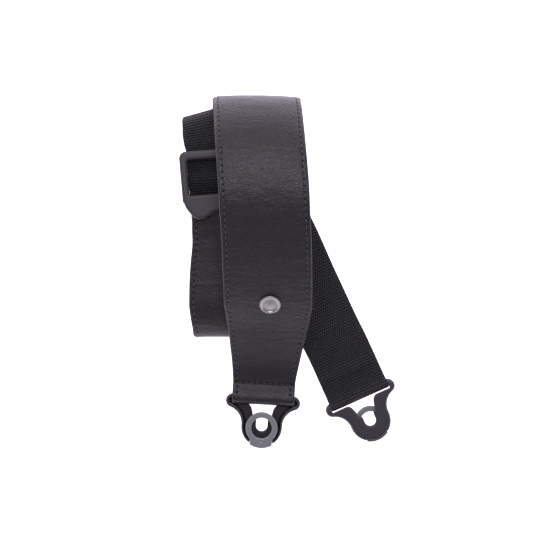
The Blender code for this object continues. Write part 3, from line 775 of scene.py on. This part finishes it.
def thread_mesh(name, starts, ends, ups, sink=0.25, sides=8, rings=9):
    """Stitches from starts to ends: each a bowed thread that dives into the hole at both ends."""
    starts, ends, ups = np.array(starts), np.array(ends), np.array(ups)
    along = ends - starts
    length = np.linalg.norm(along, axis=1)
    along /= length[:, None]
    side = np.cross(ups, along)
    side /= np.linalg.norm(side, axis=1)[:, None]
    t = np.linspace(-1, 1, rings)
    lift = THREAD_RADIUS * 0.55 * (1 - t ** 4) - (sink + THREAD_RADIUS) * np.abs(t) ** 6
    size = THREAD_RADIUS * (1 - 0.35 * np.abs(t) ** 5)
    angle = np.linspace(0, 2 * np.pi, sides, endpoint=False)
    centre = ((starts + ends) / 2)[:, None] + along[:, None] * (t[None, :, None] * length[:, None, None] / 2)
    centre = centre + ups[:, None] * lift[None, :, None]
    ring = (side[:, None, None] * np.cos(angle)[:, None]
            + ups[:, None, None] * (0.85 * np.sin(angle))[:, None]) * size[:, None, None]
    corners = (centre[:, :, None] + ring).reshape(-1, 3)
    each = sides * rings
    first = np.arange(len(starts)) * each
    faces = (tube_faces(rings, sides)[None, :, [0, 3, 2, 1]] + first[:, None, None]).reshape(-1, 4).tolist()
    for i in first.tolist():
        faces.append(tuple(reversed(range(i, i + sides))))
        faces.append(tuple(range(i + each - sides, i + each)))
    mesh = bpy.data.meshes.new(name)
    mesh.from_pydata((corners * MM).tolist(), [], faces)
    round_up, along = np.arange(sides) / sides, 3 * np.arange(rings) / rings
    places = np.column_stack([np.tile(round_up, rings), np.repeat(along, sides)])
    store_uv(mesh, "strap", places[corner_points(mesh) % each])
    return mesh


# ---------------------------------------------------------------- leather

class Leather:
    """The two leather layers, which share one route."""

    def __init__(self):
        self.route, front_row, rivet_row, rear_row = leather_route()
        self.front = self.route.marks[front_row]
        self.rear = self.route.marks[rear_row]
        self.rivet = self.route.marks[rivet_row]
        self.fold_top = self.route.marks[rivet_row + 9]
        self.seams = self.front - SEAM_SHIFT, self.rear + SEAM_SHIFT

    def inside(self, s):
        """How far distances lie in from the nearer seam."""
        return np.minimum(s - self.front, self.rear - s)

    def half(self, s):
        """Half the width in the middle, tapering to the half width of the end loops."""
        share = np.clip(self.inside(s) / TAPER_LENGTH, 0, 1) ** 1.1
        return (END_WIDTH + (LEATHER_WIDTH - END_WIDTH) * share) / 2

    def area(self, start, end):
        """Flat area in square metres."""
        s = np.linspace(start, end, 800)
        return float(np.trapz(2 * self.half(s), s)) * MM * MM

    def sway(self, s, place):
        """How far the whole strap stands off its route: the crown of the big fold, and slow waves."""
        share = place / (LEATHER_WIDTH / 2)
        crown = 1.7 * bump_at(s, self.fold_top, 45) * (0.5 - share ** 2 - 0.9 * share ** 8)
        free = np.clip((self.inside(s) - 12) / 30, 0, 1)
        return crown + 0.22 * free * cloud(place, s, 34, 26, 5)

    def pits(self, s):
        return (0.5 + 0.5 * np.cos(2 * np.pi * s / STITCH_PITCH)) ** 3

    def face_top(self, s, place, from_edge):
        """Outer surface: stitch channels with their holes, soft creases, and the cross seams' grooves."""
        height = GAP / 2 + FACE_THICKNESS + self.sway(s, place)
        height -= bump_at(from_edge, EDGE_LINE, 0.6) * (0.12 + 0.22 * self.pits(s))
        height += 0.03 * bump_at(from_edge, 1.9, 0.8) + 0.05 * bump_at(from_edge, 5.4, 1.2)
        height -= 0.42 * bump_at(from_edge, 0.0, 0.5)
        free = np.clip((self.inside(s) - 3) / 8, 0, 1)
        height += free * (0.07 * cloud(place, s, 15, 2.6, 11) + 0.09 * cloud(place, s, 7, 6, 12))
        middle = np.clip((from_edge - 1.0) / 1.5, 0, 1)
        for seam, away in ((self.front, 1), (self.rear, -1)):
            height -= 0.55 * middle * bump_at(s, seam - SEAM_SHIFT * away, 0.9)
            height += 0.12 * bump_at(s, seam + 3.4 * away, 1.6)
            height += 0.15 * middle * bump_at(s, seam - 3.0 * away, 2.2)
        return height

    def face_bottom(self, s, place, from_edge):
        return GAP / 2 + self.sway(s, place)

    def lining_top(self, s, place, from_edge):
        return self.sway(s, place) - 0.05

    def lining_bottom(self, s, place, from_edge):
        height = -GAP / 2 - LINING_THICKNESS + self.sway(s, place)
        height += bump_at(from_edge, EDGE_LINE, 0.8) * (0.18 + 0.25 * self.pits(s))
        return height + 0.10 * cloud(place, s, 9, 9, 21)


def edge_stitching(leather, name, start, end, surface, side_up, looks):
    """Both rows of stitches that run along the leather's edges, on one side of it."""
    first, last = math.ceil(start / STITCH_PITCH), math.floor(end / STITCH_PITCH)
    centre = (np.arange(first, last) + 0.5) * STITCH_PITCH
    starts, ends, ups = [], [], []
    for side in (-1, 1):
        for shift, spots in ((-STITCH_LENGTH / 2, starts), (STITCH_LENGTH / 2, ends)):
            s = centre + shift
            place = side * (leather.half(s) - EDGE_LINE)
            height = surface(centre, place, np.full_like(s, EDGE_LINE)) + side_up * 0.02
            spot, normal = leather.route.points(s, place[:, None], height[:, None])
            spots.append(spot[:, 0])
        ups.append(normal * side_up)
    mesh = thread_mesh(name, np.concatenate(starts), np.concatenate(ends), np.concatenate(ups))
    return finish_piece(name, mesh, looks)


def seam_row(name, node, route, s, height, width, up, looks):
    """The line of stitches across a sewn end."""
    middle, _, across, normal = (value[0] for value in route.at(np.array([s])))
    count = int((width - 5.2) / STITCH_PITCH)
    centres = (np.arange(count) - (count - 1) / 2) * STITCH_PITCH
    starts, ends = ([middle + normal * height + across * (centre + shift) for centre in centres]
                    for shift in (-STITCH_LENGTH / 2, STITCH_LENGTH / 2))
    mesh = thread_mesh(name, starts, ends, [normal * up] * count)
    piece = finish_piece(name, mesh, looks, [node])
    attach(piece, "strap")
    return piece


def leather_pieces(leather, looks):
    route = leather.route
    near_edge = [0.45, 0.85, 1.6, 2.5, 3.0, 3.5, 4.0, 4.6, 5.6, 7.0]
    s = np.linspace(0, route.length, int(route.length / FACE_STEP))
    mesh = strip_mesh("leather_face", route, s, leather.half(s), leather.face_top, leather.face_bottom,
                      columns(near_edge, 19), 0.45, (0, 1, 2))
    face = finish_piece("leather_face", mesh, [looks["leather"], looks["edge"], looks["suede"]],
                        ["face_leather"])
    room = LINING_START - STITCH_TO_BAR
    start, end = leather.front + room, leather.rear - room
    s = np.linspace(start, end, int(route.length / LINING_STEP))
    mesh = strip_mesh("leather_lining", route, s, leather.half(s) - 0.1, leather.lining_top,
                      leather.lining_bottom, columns([0.35, 1.5, 2.7, 3.5, 4.3, 5.5], 12), 0.35, (0, 1, 0))
    lining = finish_piece("leather_lining", mesh, [looks["suede"], looks["edge"]],
                          ["lining_leather"])
    threads = [looks["thread"]]
    outer = edge_stitching(leather, "edge_stitching_outer", 2, leather.rear + 1, leather.face_top, 1, threads)
    inner = edge_stitching(leather, "edge_stitching_inner", start + 2, end - 2, leather.lining_bottom, -1,
                           threads)
    for side, seam in zip(("front", "adjuster"), leather.seams):
        seam_row(side + "_seam_thread", side + "_loop_stitching", route, seam,
                 GAP / 2 + FACE_THICKNESS - 0.35, END_WIDTH, 1, threads)
    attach(lining, "strap")
    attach(inner, "strap")
    leather.area(0, route.length)
    (end - start) * MM
    leather.area(start, end)
    start, end = FRONT_BAR.beside(*LOOP_BLEND)
    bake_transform(face)
    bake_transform(outer)


# ---------------------------------------------------------------- webbing

def webbing_surface(offset, fold):
    """Height of one webbing surface: crosswise ribs, slow waves, and a curl at the inner end of the fold."""
    def height(s, place, from_edge):
        curl = 1.6 * np.clip((place + 2) / 22, 0, 1) ** 2 * bump_at(s, fold, 17)
        rib = 0.5 - 0.5 * np.cos(2 * np.pi * s / RIB_PITCH)
        soft = np.clip(from_edge / 2.0, 0, 1)
        return offset * (WEBBING_THICKNESS / 2 - 0.18 + 0.24 * rib * (0.4 + 0.6 * soft)
                         - 0.12 * (1 - soft)) + 0.12 * cloud(place, s, 20, 24, 31) - curl
    return height


def webbing_pieces(looks):
    route, under_loop, above_frame, stitch = webbing_route()
    cut_low, cut_high = route.marks[under_loop], route.marks[above_frame] + 2.0
    fold = route.marks[above_frame + 5]
    pieces, flats = [], []
    for name, node, start, end in (
        ("webbing_tail", "webbing_adjuster_run", 0, cut_low),
        ("webbing_in_adjuster", "webbing_adjuster_run", cut_low, cut_high),
        ("webbing_main", "webbing_strap", cut_high, route.length),
    ):
        s = np.linspace(start, end, int((end - start) / WEBBING_STEP) + 1)
        mesh = strip_mesh(name, route, s, np.full_like(s, WEBBING_WIDTH / 2), webbing_surface(1, fold),
                          webbing_surface(-1, fold), columns([0.4, 1.0, 1.8], 20), 0.4, (0, 0, 0))
        pieces.append(finish_piece(name, mesh, [looks["webbing"]], [node]))
        flats.append((WEBBING_WIDTH * MM, (end - start) * MM))
    tail, run, main_piece = pieces
    threads = [looks["webbing_thread"]]
    above = WEBBING_THICKNESS / 2 + 0.05
    rear = seam_row("rear_seam_thread", "rear_loop_stitching", route, route.marks[stitch], -above,
                    WEBBING_WIDTH, -1, threads)
    hem = seam_row("tail_hem_thread", "tail_hem_stitching", route, 2.5, above, WEBBING_WIDTH, 1, threads)
    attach(tail, "strap")
    start, end = ADJUSTER_BAR.beside(34, 44)
    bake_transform(run)
    start, end = REAR_BAR.beside(*LOOP_BLEND)
    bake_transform(main_piece)


# ---------------------------------------------------------------- moulded and turned solids

def plain_object(name, corners, faces):
    """A scratch object with outward faces, from corners in millimetres."""
    mesh = bpy.data.meshes.new(name)
    mesh.from_pydata((np.array(corners) * MM).tolist(), [], faces)
    face_outwards(mesh)
    return placed(name, mesh)


def ringed(name, rings):
    """A closed solid through rings of equally many points."""
    count, size = len(rings[0]), len(rings[0]) * len(rings)
    caps = [tuple(range(count)), tuple(range(size - count, size))]
    return plain_object(name, [point for ring in rings for point in ring],
                        caps + tube_faces(len(rings), count).tolist())


def loft(name, levels):
    """A closed solid through outlines of equal length, given as (outline, z)."""
    return ringed(name, [[(x, y, z) for x, y in outline] for outline, z in levels])


def block(name, outline, low, high):
    return loft(name, [(outline, low), (outline, high)])


def circle(centre, radius, steps):
    return arc(centre, radius, 0, 360 * (steps - 1) / steps, steps - 1)


def rod(name, half, radius, y=0.0, z=0.0, steps=48, tip=0.0):
    """A round bar along x, centred over x = 0, with its ends chamfered by tip."""
    ends = [(-half, radius - tip), (-half + tip, radius), (half - tip, radius), (half, radius - tip)]
    if not tip:
        ends = [ends[0], ends[-1]]
    return ringed(name, [[(x, y + b, z + c) for b, c in circle((0, 0), size, steps)] for x, size in ends])


def turned(name, profile, steps=72):
    """A closed round solid from (radius, z) points, which run from the axis to the axis."""
    rings = profile[1:-1]
    corners = [(x, y, z) for radius, z in rings for x, y in circle((0, 0), radius, steps)]
    low = len(corners)
    corners += [(0, 0, profile[0][1]), (0, 0, profile[-1][1])]
    faces = tube_faces(len(rings), steps).tolist()
    for i in range(steps):
        j = (i + 1) % steps
        faces.append((low, i, j))
        faces.append((low - steps + i, low + 1, low - steps + j))
    return plain_object(name, corners, faces)


def shaped(base, cuts, joins=()):
    """The base with some tools cut away and then others joined on, as a new mesh; the tools are removed."""
    tools = [*cuts, *joins]
    for tool in tools:
        change = base.modifiers.new(tool.name, "BOOLEAN")
        change.object = tool
        change.operation = "DIFFERENCE" if tool in cuts else "UNION"
    mesh = finished_mesh(base)
    for tool in tools:
        bpy.data.objects.remove(tool)
    return mesh


def softened(mesh, voxel, rounds):
    """The solid remade in small even faces with its edges rounded, as moulding leaves them."""
    thing = placed("softening", mesh)
    remesh = thing.modifiers.new("even", "REMESH")
    remesh.mode = "VOXEL"
    remesh.voxel_size = voxel * MM
    smooth = thing.modifiers.new("round", "SMOOTH")
    smooth.factor = 0.5
    smooth.iterations = rounds
    return finished_mesh(thing)


def solid_piece(name, mesh, matrix, look, node, body, angle=60):
    mesh.transform(matrix)
    mesh.materials.clear()
    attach(finish_piece(name, mesh, [look], [node], angle), body)


def connector_outline(inset=0.0, ear_inset=None):
    """Two round ears joined to one round end by hollow flares, all moved in by the inset."""
    ear_inset = inset if ear_inset is None else ear_inset
    ear_radius, round_radius = EAR_RADIUS - ear_inset, ROUND_RADIUS - inset
    flare_radius = FLARE_RADIUS + ear_inset
    ear, end = Vector(EAR_CENTRE), Vector(ROUND_CENTRE)
    span = ear - end
    near, far = round_radius + flare_radius, ear_radius + flare_radius
    reach = (near ** 2 - far ** 2 + span.length ** 2) / (2 * span.length)
    side = math.sqrt(near ** 2 - reach ** 2)
    axis = span.normalized()
    flare = end + axis * reach + Vector((axis.y, -axis.x)) * side
    half = [(0, ear.y + ear_radius)]
    half += arc(ear, ear_radius, 90, direction(ear, flare), 20)
    half += arc(flare, flare_radius, direction(flare, ear) % 360, direction(flare, end) % 360, 20)[1:]
    half += arc(end, round_radius, direction(end, flare), -90, 28)[1:]
    half[-1] = (0, end.y - round_radius)
    return mirrored(half)


def inside_rim(inset):
    return connector_outline(RIM_WIDTH + inset, EAR_RIM_WIDTH + inset)


def keyhole_outline(grow=0.0):
    """The way in for a strap button: a funnel that narrows to the round-ended seat."""
    mouth = (MOUTH_HALF + grow, SHOULDER_Y)
    throat = (THROAT[0] + grow, THROAT[1])
    half = [(0, SHOULDER_Y + 1), (MOUTH_HALF + grow, SHOULDER_Y + 1), mouth]
    half += bezier(mouth, (8.4 + grow, -6.4), throat, 12)
    half += bezier(throat, (7.2 + grow, -16.8), (SEAT_RADIUS + grow, SEAT_START_Y), 8)
    half += arc((0, SEAT_Y), SEAT_RADIUS + grow, 0, -90, 14)
    half[-1] = (0, SEAT_Y - SEAT_RADIUS - grow)
    return mirrored(half)


def rectangle(left, right, low, high):
    return [(left, low), (right, low), (right, high), (left, high)]


def connector_mesh():
    """Keyhole plate with a rounded back, raised rim, dark groove inside the rim, bar and latch recess."""
    body = loft("body", [(connector_outline(inset), z) for inset, z in (
        (3.0, BACK_Z), (1.7, BACK_Z + 0.25), (0.9, BACK_Z + 0.7), (0.3, BACK_Z + 1.4), (0.0, BACK_Z + 2.3),
        (0.0, RIM_Z - 0.8), (0.15, RIM_Z - 0.25), (0.5, RIM_Z)
    )])
    channel = loft("channel", [(inside_rim(draft), z) for draft, z in (
        (0.25, PLATE_Z), (0.0, RIM_Z - 0.4), (-0.3, RIM_Z + 0.1), (-0.3, RIM_Z + 1)
    )])
    groove = block("groove", inside_rim(0.2), PLATE_Z - GROOVE_DEPTH, PLATE_Z + 1)
    island = block("island", inside_rim(GROOVE_WIDTH), PLATE_Z - GROOVE_DEPTH - 1, PLATE_Z + 2)
    groove = placed("groove_ring", shaped(groove, [island]))
    keyhole = loft("keyhole", [(keyhole_outline(grow), z) for grow, z in (
        (1.1, BACK_Z - 0.5), (1.1, BACK_Z), (0.0, BACK_Z + 0.8),
        (0.0, PLATE_Z - 0.6), (0.7, PLATE_Z), (0.7, RIM_Z + 2)
    )])
    slot = rectangle(-SLOT_HALF, SLOT_HALF, SHOULDER_Y, 4)
    recess = rectangle(-TAB_HALF - GAP, TAB_HALF + GAP, -45, RECESS_Y)
    return softened(shaped(body, [
        channel,
        groove,
        block("slot", slot, BACK_Z - 1, RIM_Z + 1),
        keyhole,
        block("recess", recess, BACK_Z + RECESS_FLOOR, RIM_Z + 3),
        rod("pin_hole", PIN_HALF + GAP, PIN_RADIUS + 0.15, PIN_Y, PIN_Z, 24),
    ], [rod("bar", SLOT_HALF + 1.5, BAR_RADIUS)]), voxel=0.32, rounds=4)


def mark_shaded_recess(mesh):
    """Marks the sunk plate round the keyhole, which the body's look paints darker as shade."""
    marks = mesh.attributes.new("recess", "FLOAT", "POINT")
    for vertex, mark in zip(mesh.vertices, marks.data):
        z = vertex.co.z / MM
        mark.value = float(PLATE_Z - 1.4 < z < PLATE_Z + 0.5 and vertex.normal.z > -0.3)


def ring_outline(inset=0.0):
    radius, half, tab = RING_RADIUS - inset, TAB_HALF - inset, TAB_RADIUS - inset
    corner = math.degrees(math.acos(TAB_HALF / RING_RADIUS))
    bottom = math.degrees(math.acos(half / tab))
    return (arc((0, RING_Y), radius, -corner, 180 + corner, 72)
            + arc(ROUND_CENTRE, tab, -180 + bottom, -bottom, 24))


def ring_mesh():
    """Lock ring with softened edges, a shallow land round its hole, and a plain dot on its press tab."""
    low, high = RING_Z
    ring = loft("ring", [(ring_outline(inset), z) for inset, z in (
        (0.4, low), (0.0, low + 0.4), (0.0, high - 0.9), (0.2, high - 0.35), (0.75, high)
    )])
    hole = loft("hole", [(circle((0, RING_Y), RING_HOLE + grow, 72), z) for grow, z in (
        (0.3, low - 1), (0.0, low + 0.3), (0.0, high - 0.7), (0.6, high + 0.05), (0.6, high + 1)
    )])
    reach = COIL_RADIUS + SPRING_WIRE + 1.5 * GAP
    pocket = rectangle(-SPRING_POCKET_HALF, SPRING_POCKET_HALF, PIN_Y - reach, PIN_Y + reach)
    dot = turned("dot", [(radius, high + up) for radius, up in (
        (0, -1), (1.25, -1), (1.2, 0.05), (0.8, 0.3), (0, 0.4)
    )], 32)
    dot.data.transform(Matrix.Translation((0, (PIN_Y - 1.3) * MM, 0)))
    pocket = block("pocket", pocket, low - 1, PIN_Z + reach)
    bore = rod("pin_bore", TAB_HALF + 2, PIN_RADIUS + 0.15, PIN_Y, PIN_Z, 24)
    return softened(shaped(ring, [hole, bore, pocket], [dot]), voxel=0.25, rounds=3)


def spring_mesh():
    """A closed-wound coil round the hinge pin, one leg on the recess and one under the ring."""
    half, count = SPRING_POCKET_HALF - 1.0, 28 * SPRING_TURNS
    points = [(-half, -0.9, -COIL_RADIUS - 0.1)]
    for i in range(count + 1):
        angle = math.radians(-90 + 360 * SPRING_TURNS * i / count)
        x = (i / count - 0.5) * 2 * half
        points.append((x, COIL_RADIUS * math.cos(angle), COIL_RADIUS * math.sin(angle)))
    points.append((half, 1.4, -COIL_RADIUS + 0.15))
    curve = bpy.data.curves.new("coil", "CURVE")
    curve.dimensions = "3D"
    curve.bevel_depth = SPRING_WIRE * MM
    curve.bevel_resolution = 3
    curve.use_fill_caps = True
    line = curve.splines.new("POLY")
    line.points.add(len(points) - 1)
    for point, (x, y, z) in zip(line.points, points):
        point.co = (x * MM, (y + PIN_Y) * MM, (z + PIN_Z) * MM, 1)
    return finished_mesh(placed("coil", curve))


def connectors(looks):
    body_mesh, lock_mesh, coil = connector_mesh(), ring_mesh(), spring_mesh()
    mark_shaded_recess(body_mesh)
    pin = finished_mesh(rod("pin", PIN_HALF, PIN_RADIUS, PIN_Y, PIN_Z, 32, 0.15))
    for side, matrix in (("front", FRONT_BAR.frame()), ("rear", REAR_BAR.frame(flipped=True))):
        for part, node, mesh, look, slot, rides in (
            ("_connector_piece", "_connector_body", body_mesh, "body", "body_plastic", "_connector"),
            ("_latch_ring_piece", "_latch_ring", lock_mesh, "ring", "ring_plastic", "_latch"),
            ("_latch_pin_piece", "_latch_pin", pin, "steel", "pin_steel", "_connector"),
            ("_latch_spring_piece", "_latch_spring", coil, "steel", "pin_steel", "_connector"),
        ):
            solid_piece(side + part, mesh.copy(), matrix, looks[look], side + node, side + rides)


def adjuster_outline(inset=0.0):
    """Frame outline: a straight top with round corners, and a two-lobed shield at the bottom."""
    x, top = FRAME_HALF - inset, FRAME_TOP - inset
    half = [(0, top)]
    half += arc((x - FRAME_CORNER, top - FRAME_CORNER), FRAME_CORNER, 90, 0, 10)
    half.append((x - 0.4, 3.2))
    half += bezier(half[-1], (30.6 - inset, -4.3), (25.6 - inset * 0.8, -10.4 + inset * 0.6), 10)
    tip = (LOBE_TIP[0], LOBE_TIP[1] + inset)
    half += bezier(half[-1], (22.0 - inset * 0.3, -15.2 + inset), tip, 8)
    half += bezier(tip, (14.0, -14.4 + inset), (9.5 + inset * 0.4, -11.2 + inset), 8)
    half += bezier(half[-1], (5.5, SHIELD_WAIST + inset), (0, SHIELD_WAIST + inset), 8)
    return mirrored(half)


def window_outline(grow=0.0):
    side = WINDOW_HALF - WINDOW_CORNER
    low, high = WINDOW_Y[0] + WINDOW_CORNER, WINDOW_Y[1] - WINDOW_CORNER
    points = []
    for x, y, start in ((side, high, 0), (-side, high, 90), (-side, low, 180), (side, low, 270)):
        points += arc((x, y), WINDOW_CORNER + grow, start, start + 90, 8)
    return points


def adjuster(looks):
    """One moulded frame: its plate with a bevelled window, side rails, a top bar and two round bars."""
    top = RAIL_Z[1]
    plate = loft("plate", [(adjuster_outline(inset), z) for inset, z in (
        (0.3, SHIELD_Z), (0.0, SHIELD_Z + 0.3), (0.0, top - 1.5), (0.3, top - 0.75), (0.85, top - 0.25),
        (1.7, top)
    )])
    window = loft("window", [(window_outline(grow), z) for grow, z in (
        (0.0, RAIL_Z[0]), (0.0, top - 0.8), (0.3, top - 0.5), (1.4, top + 0.02), (1.4, top + 1)
    )])
    outer = FRAME_HALF - RAIL_INSET
    rail_top = FRAME_TOP - FRAME_CORNER
    bar_half = outer - FRAME_CORNER
    joins = [block(name, outline, low, SHIELD_Z + 0.8) for name, outline, low in (
        ("left_rail", rectangle(-outer, -WINDOW_HALF, RAIL_END, rail_top), RAIL_Z[0]),
        ("right_rail", rectangle(WINDOW_HALF, outer, RAIL_END, rail_top), RAIL_Z[0]),
        ("top_bar", rectangle(-bar_half, bar_half, WINDOW_Y[1], FRAME_TOP - RAIL_INSET), TOP_BAR_Z),
    )]
    joins += [rod("bar", WINDOW_HALF + 2, BAR_RADIUS, y, z) for y, z in ((0, 0), CENTRE_BAR)]
    mesh = softened(shaped(plate, [window], joins), voxel=0.35, rounds=3)
    solid_piece("adjuster_frame_piece", mesh, ADJUSTER_BAR.frame(), looks["frame"],
                "adjuster_frame", "adjuster")


def rivet(leather, looks):
    """Domed cap with a raised rim over the face, and the post with its back cap under the lining."""
    middle, _, across, normal = (value[0] for value in leather.route.at(np.array([leather.rivet])))
    lift = leather.sway(np.array([leather.rivet]), np.array([RIVET_PLACE]))[0]
    turn = Matrix((across, np.cross(normal, across), normal)).transposed().to_4x4()
    matrix = Matrix.Translation(Vector(middle + across * RIVET_PLACE + normal * lift) * MM) @ turn
    top = GAP / 2 + FACE_THICKNESS
    r = CAP_RADIUS
    profile = [(0, top - 0.1), (r - 0.5, top - 0.1), (r - 0.1, top + 0.35), (r, top + 0.8)]
    profile += [(r - 0.9 + 0.9 * math.cos(a), top + 1.05 + 0.8 * math.sin(a))
                for a in np.radians((15, 40, 65, 90, 115, 140, 165))]
    profile += [(r - 2.1, top + 1.05), (r - 2.6, top + 0.95), (r - 4.5, top + 1.15), (r - 6.5, top + 1.3)]
    cap = turned("cap", profile + [(0, top + 1.35)], 96)
    bottom = -GAP / 2 - LINING_THICKNESS
    b = BACK_CAP_RADIUS
    post = turned("post", [
        (0, bottom - 1.5), (b - 2.0, bottom - 1.45), (b - 0.8, bottom - 1.2), (b - 0.1, bottom - 0.7),
        (b, bottom - 0.3), (b - 0.2, bottom - 0.05), (POST_RADIUS, bottom), (POST_RADIUS, top - 0.2),
        (0, top - 0.2)
    ], 64)
    for node, thing in (("rivet_cap", cap), ("rivet_post", post)):
        solid_piece(node + "_piece", finished_mesh(thing), matrix, looks["nickel"], node,
                    "strap", 40)


# ---------------------------------------------------------------- stage

def floor():
    mesh = bpy.data.meshes.new("floor")
    half = FLOOR_SIZE_M / 2
    mesh.from_pydata([(x, y, 0) for x, y in rectangle(-half, half, -half, half)], [], [(0, 1, 2, 3)])
    look = Look("floor_look", Base_Color=(0.86, 0.86, 0.86, 1), Roughness=0.9,
                Emission_Color=(*LIGHT_TINT, 1), Emission_Strength=FLOOR_GLOW)
    mesh.materials.append(look.material)
    placed("floor", mesh)


def surroundings():
    """A white studio with a faint cool cast: bright low down, most of all behind, and dimmer overhead."""
    world = bpy.data.worlds.new("studio")
    bpy.context.scene.world = world
    world.use_nodes = True
    tree = world.node_tree
    background = tree.nodes["Background"]
    place, parts, ramp, sides = (tree.nodes.new("ShaderNode" + kind)
                                 for kind in ("TexCoord", "SeparateXYZ", "ValToRGB", "MapRange"))
    for start, end in (
        (place.outputs["Generated"], parts.inputs[0]), (parts.outputs[2], ramp.inputs[0]),
        (ramp.outputs[0], background.inputs[0]), (parts.outputs[1], sides.inputs["Value"]),
        (sides.outputs[0], background.inputs[1])
    ):
        tree.links.new(start, end)
    stops = ramp.color_ramp.elements
    stops[1].position = 1.0
    for position in (0.15, 0.30, 0.42, 0.60):
        stops.new(position)
    for stop, value in zip(stops, (1.25, 1.0, 0.66, 0.32, 0.235, 0.195)):
        stop.color = [value * part for part in LIGHT_TINT] + [1]
    span = {"From Min": -1, "From Max": 1, "To Min": STUDIO_FRONT, "To Max": STUDIO_BEHIND}
    for name, value in span.items():
        sides.inputs[name].default_value = value


def soft_lamp(name, place, aim, size, power):
    lamp = bpy.data.lights.new(name, "AREA")
    lamp.shape = "RECTANGLE"
    lamp.size, lamp.size_y = size
    lamp.energy = power
    lamp.color = LIGHT_TINT
    thing = placed(name, lamp)
    thing.location = place
    thing.rotation_euler = (Vector(aim) - Vector(place)).to_track_quat("-Z", "Y").to_euler()


def camera():
    data = bpy.data.cameras.new("camera")
    data.sensor_width = 36
    data.lens = CAMERA_LENS
    data.clip_start, data.clip_end = 0.05, 20
    thing = placed("camera", data)
    thing.location = Vector(CAMERA_PLACE) * MM
    bpy.context.scene.camera = thing


def main():
    leather = Leather()
    looks = {
        "leather": leather_look(leather.seams),
        "edge": edge_look(),
        "suede": suede_look(),
        "webbing": webbing_look(),
        "thread": thread_look("thread_look", 0.062),
        "webbing_thread": thread_look("webbing_thread_look", 0.006),
        "body": plastic_look("connector_plastic_look", 0.034, 0.42, (1.04, 0.95, 1.12)),
        "ring": plastic_look("ring_plastic_look", 0.245, 0.48, (0.98, 1.03, 1.03), 0.30),
        "frame": plastic_look("adjuster_plastic_look", 0.030, 0.42, (1.0, 0.97, 1.05)),
        "nickel": nickel_look(),
        "steel": steel_look(),
    }
    connectors(looks)
    adjuster(looks)
    leather_pieces(leather, looks)
    rivet(leather, looks)
    webbing_pieces(looks)
    floor()
    surroundings()
    soft_lamp("overhead_softbox", (-0.05, 0.63, 1.57), (-0.02, 0.08, 0.07), (0.9, 0.30), 11.0)
    camera()
    bpy.context.scene.view_settings.view_transform = "Standard"


main()
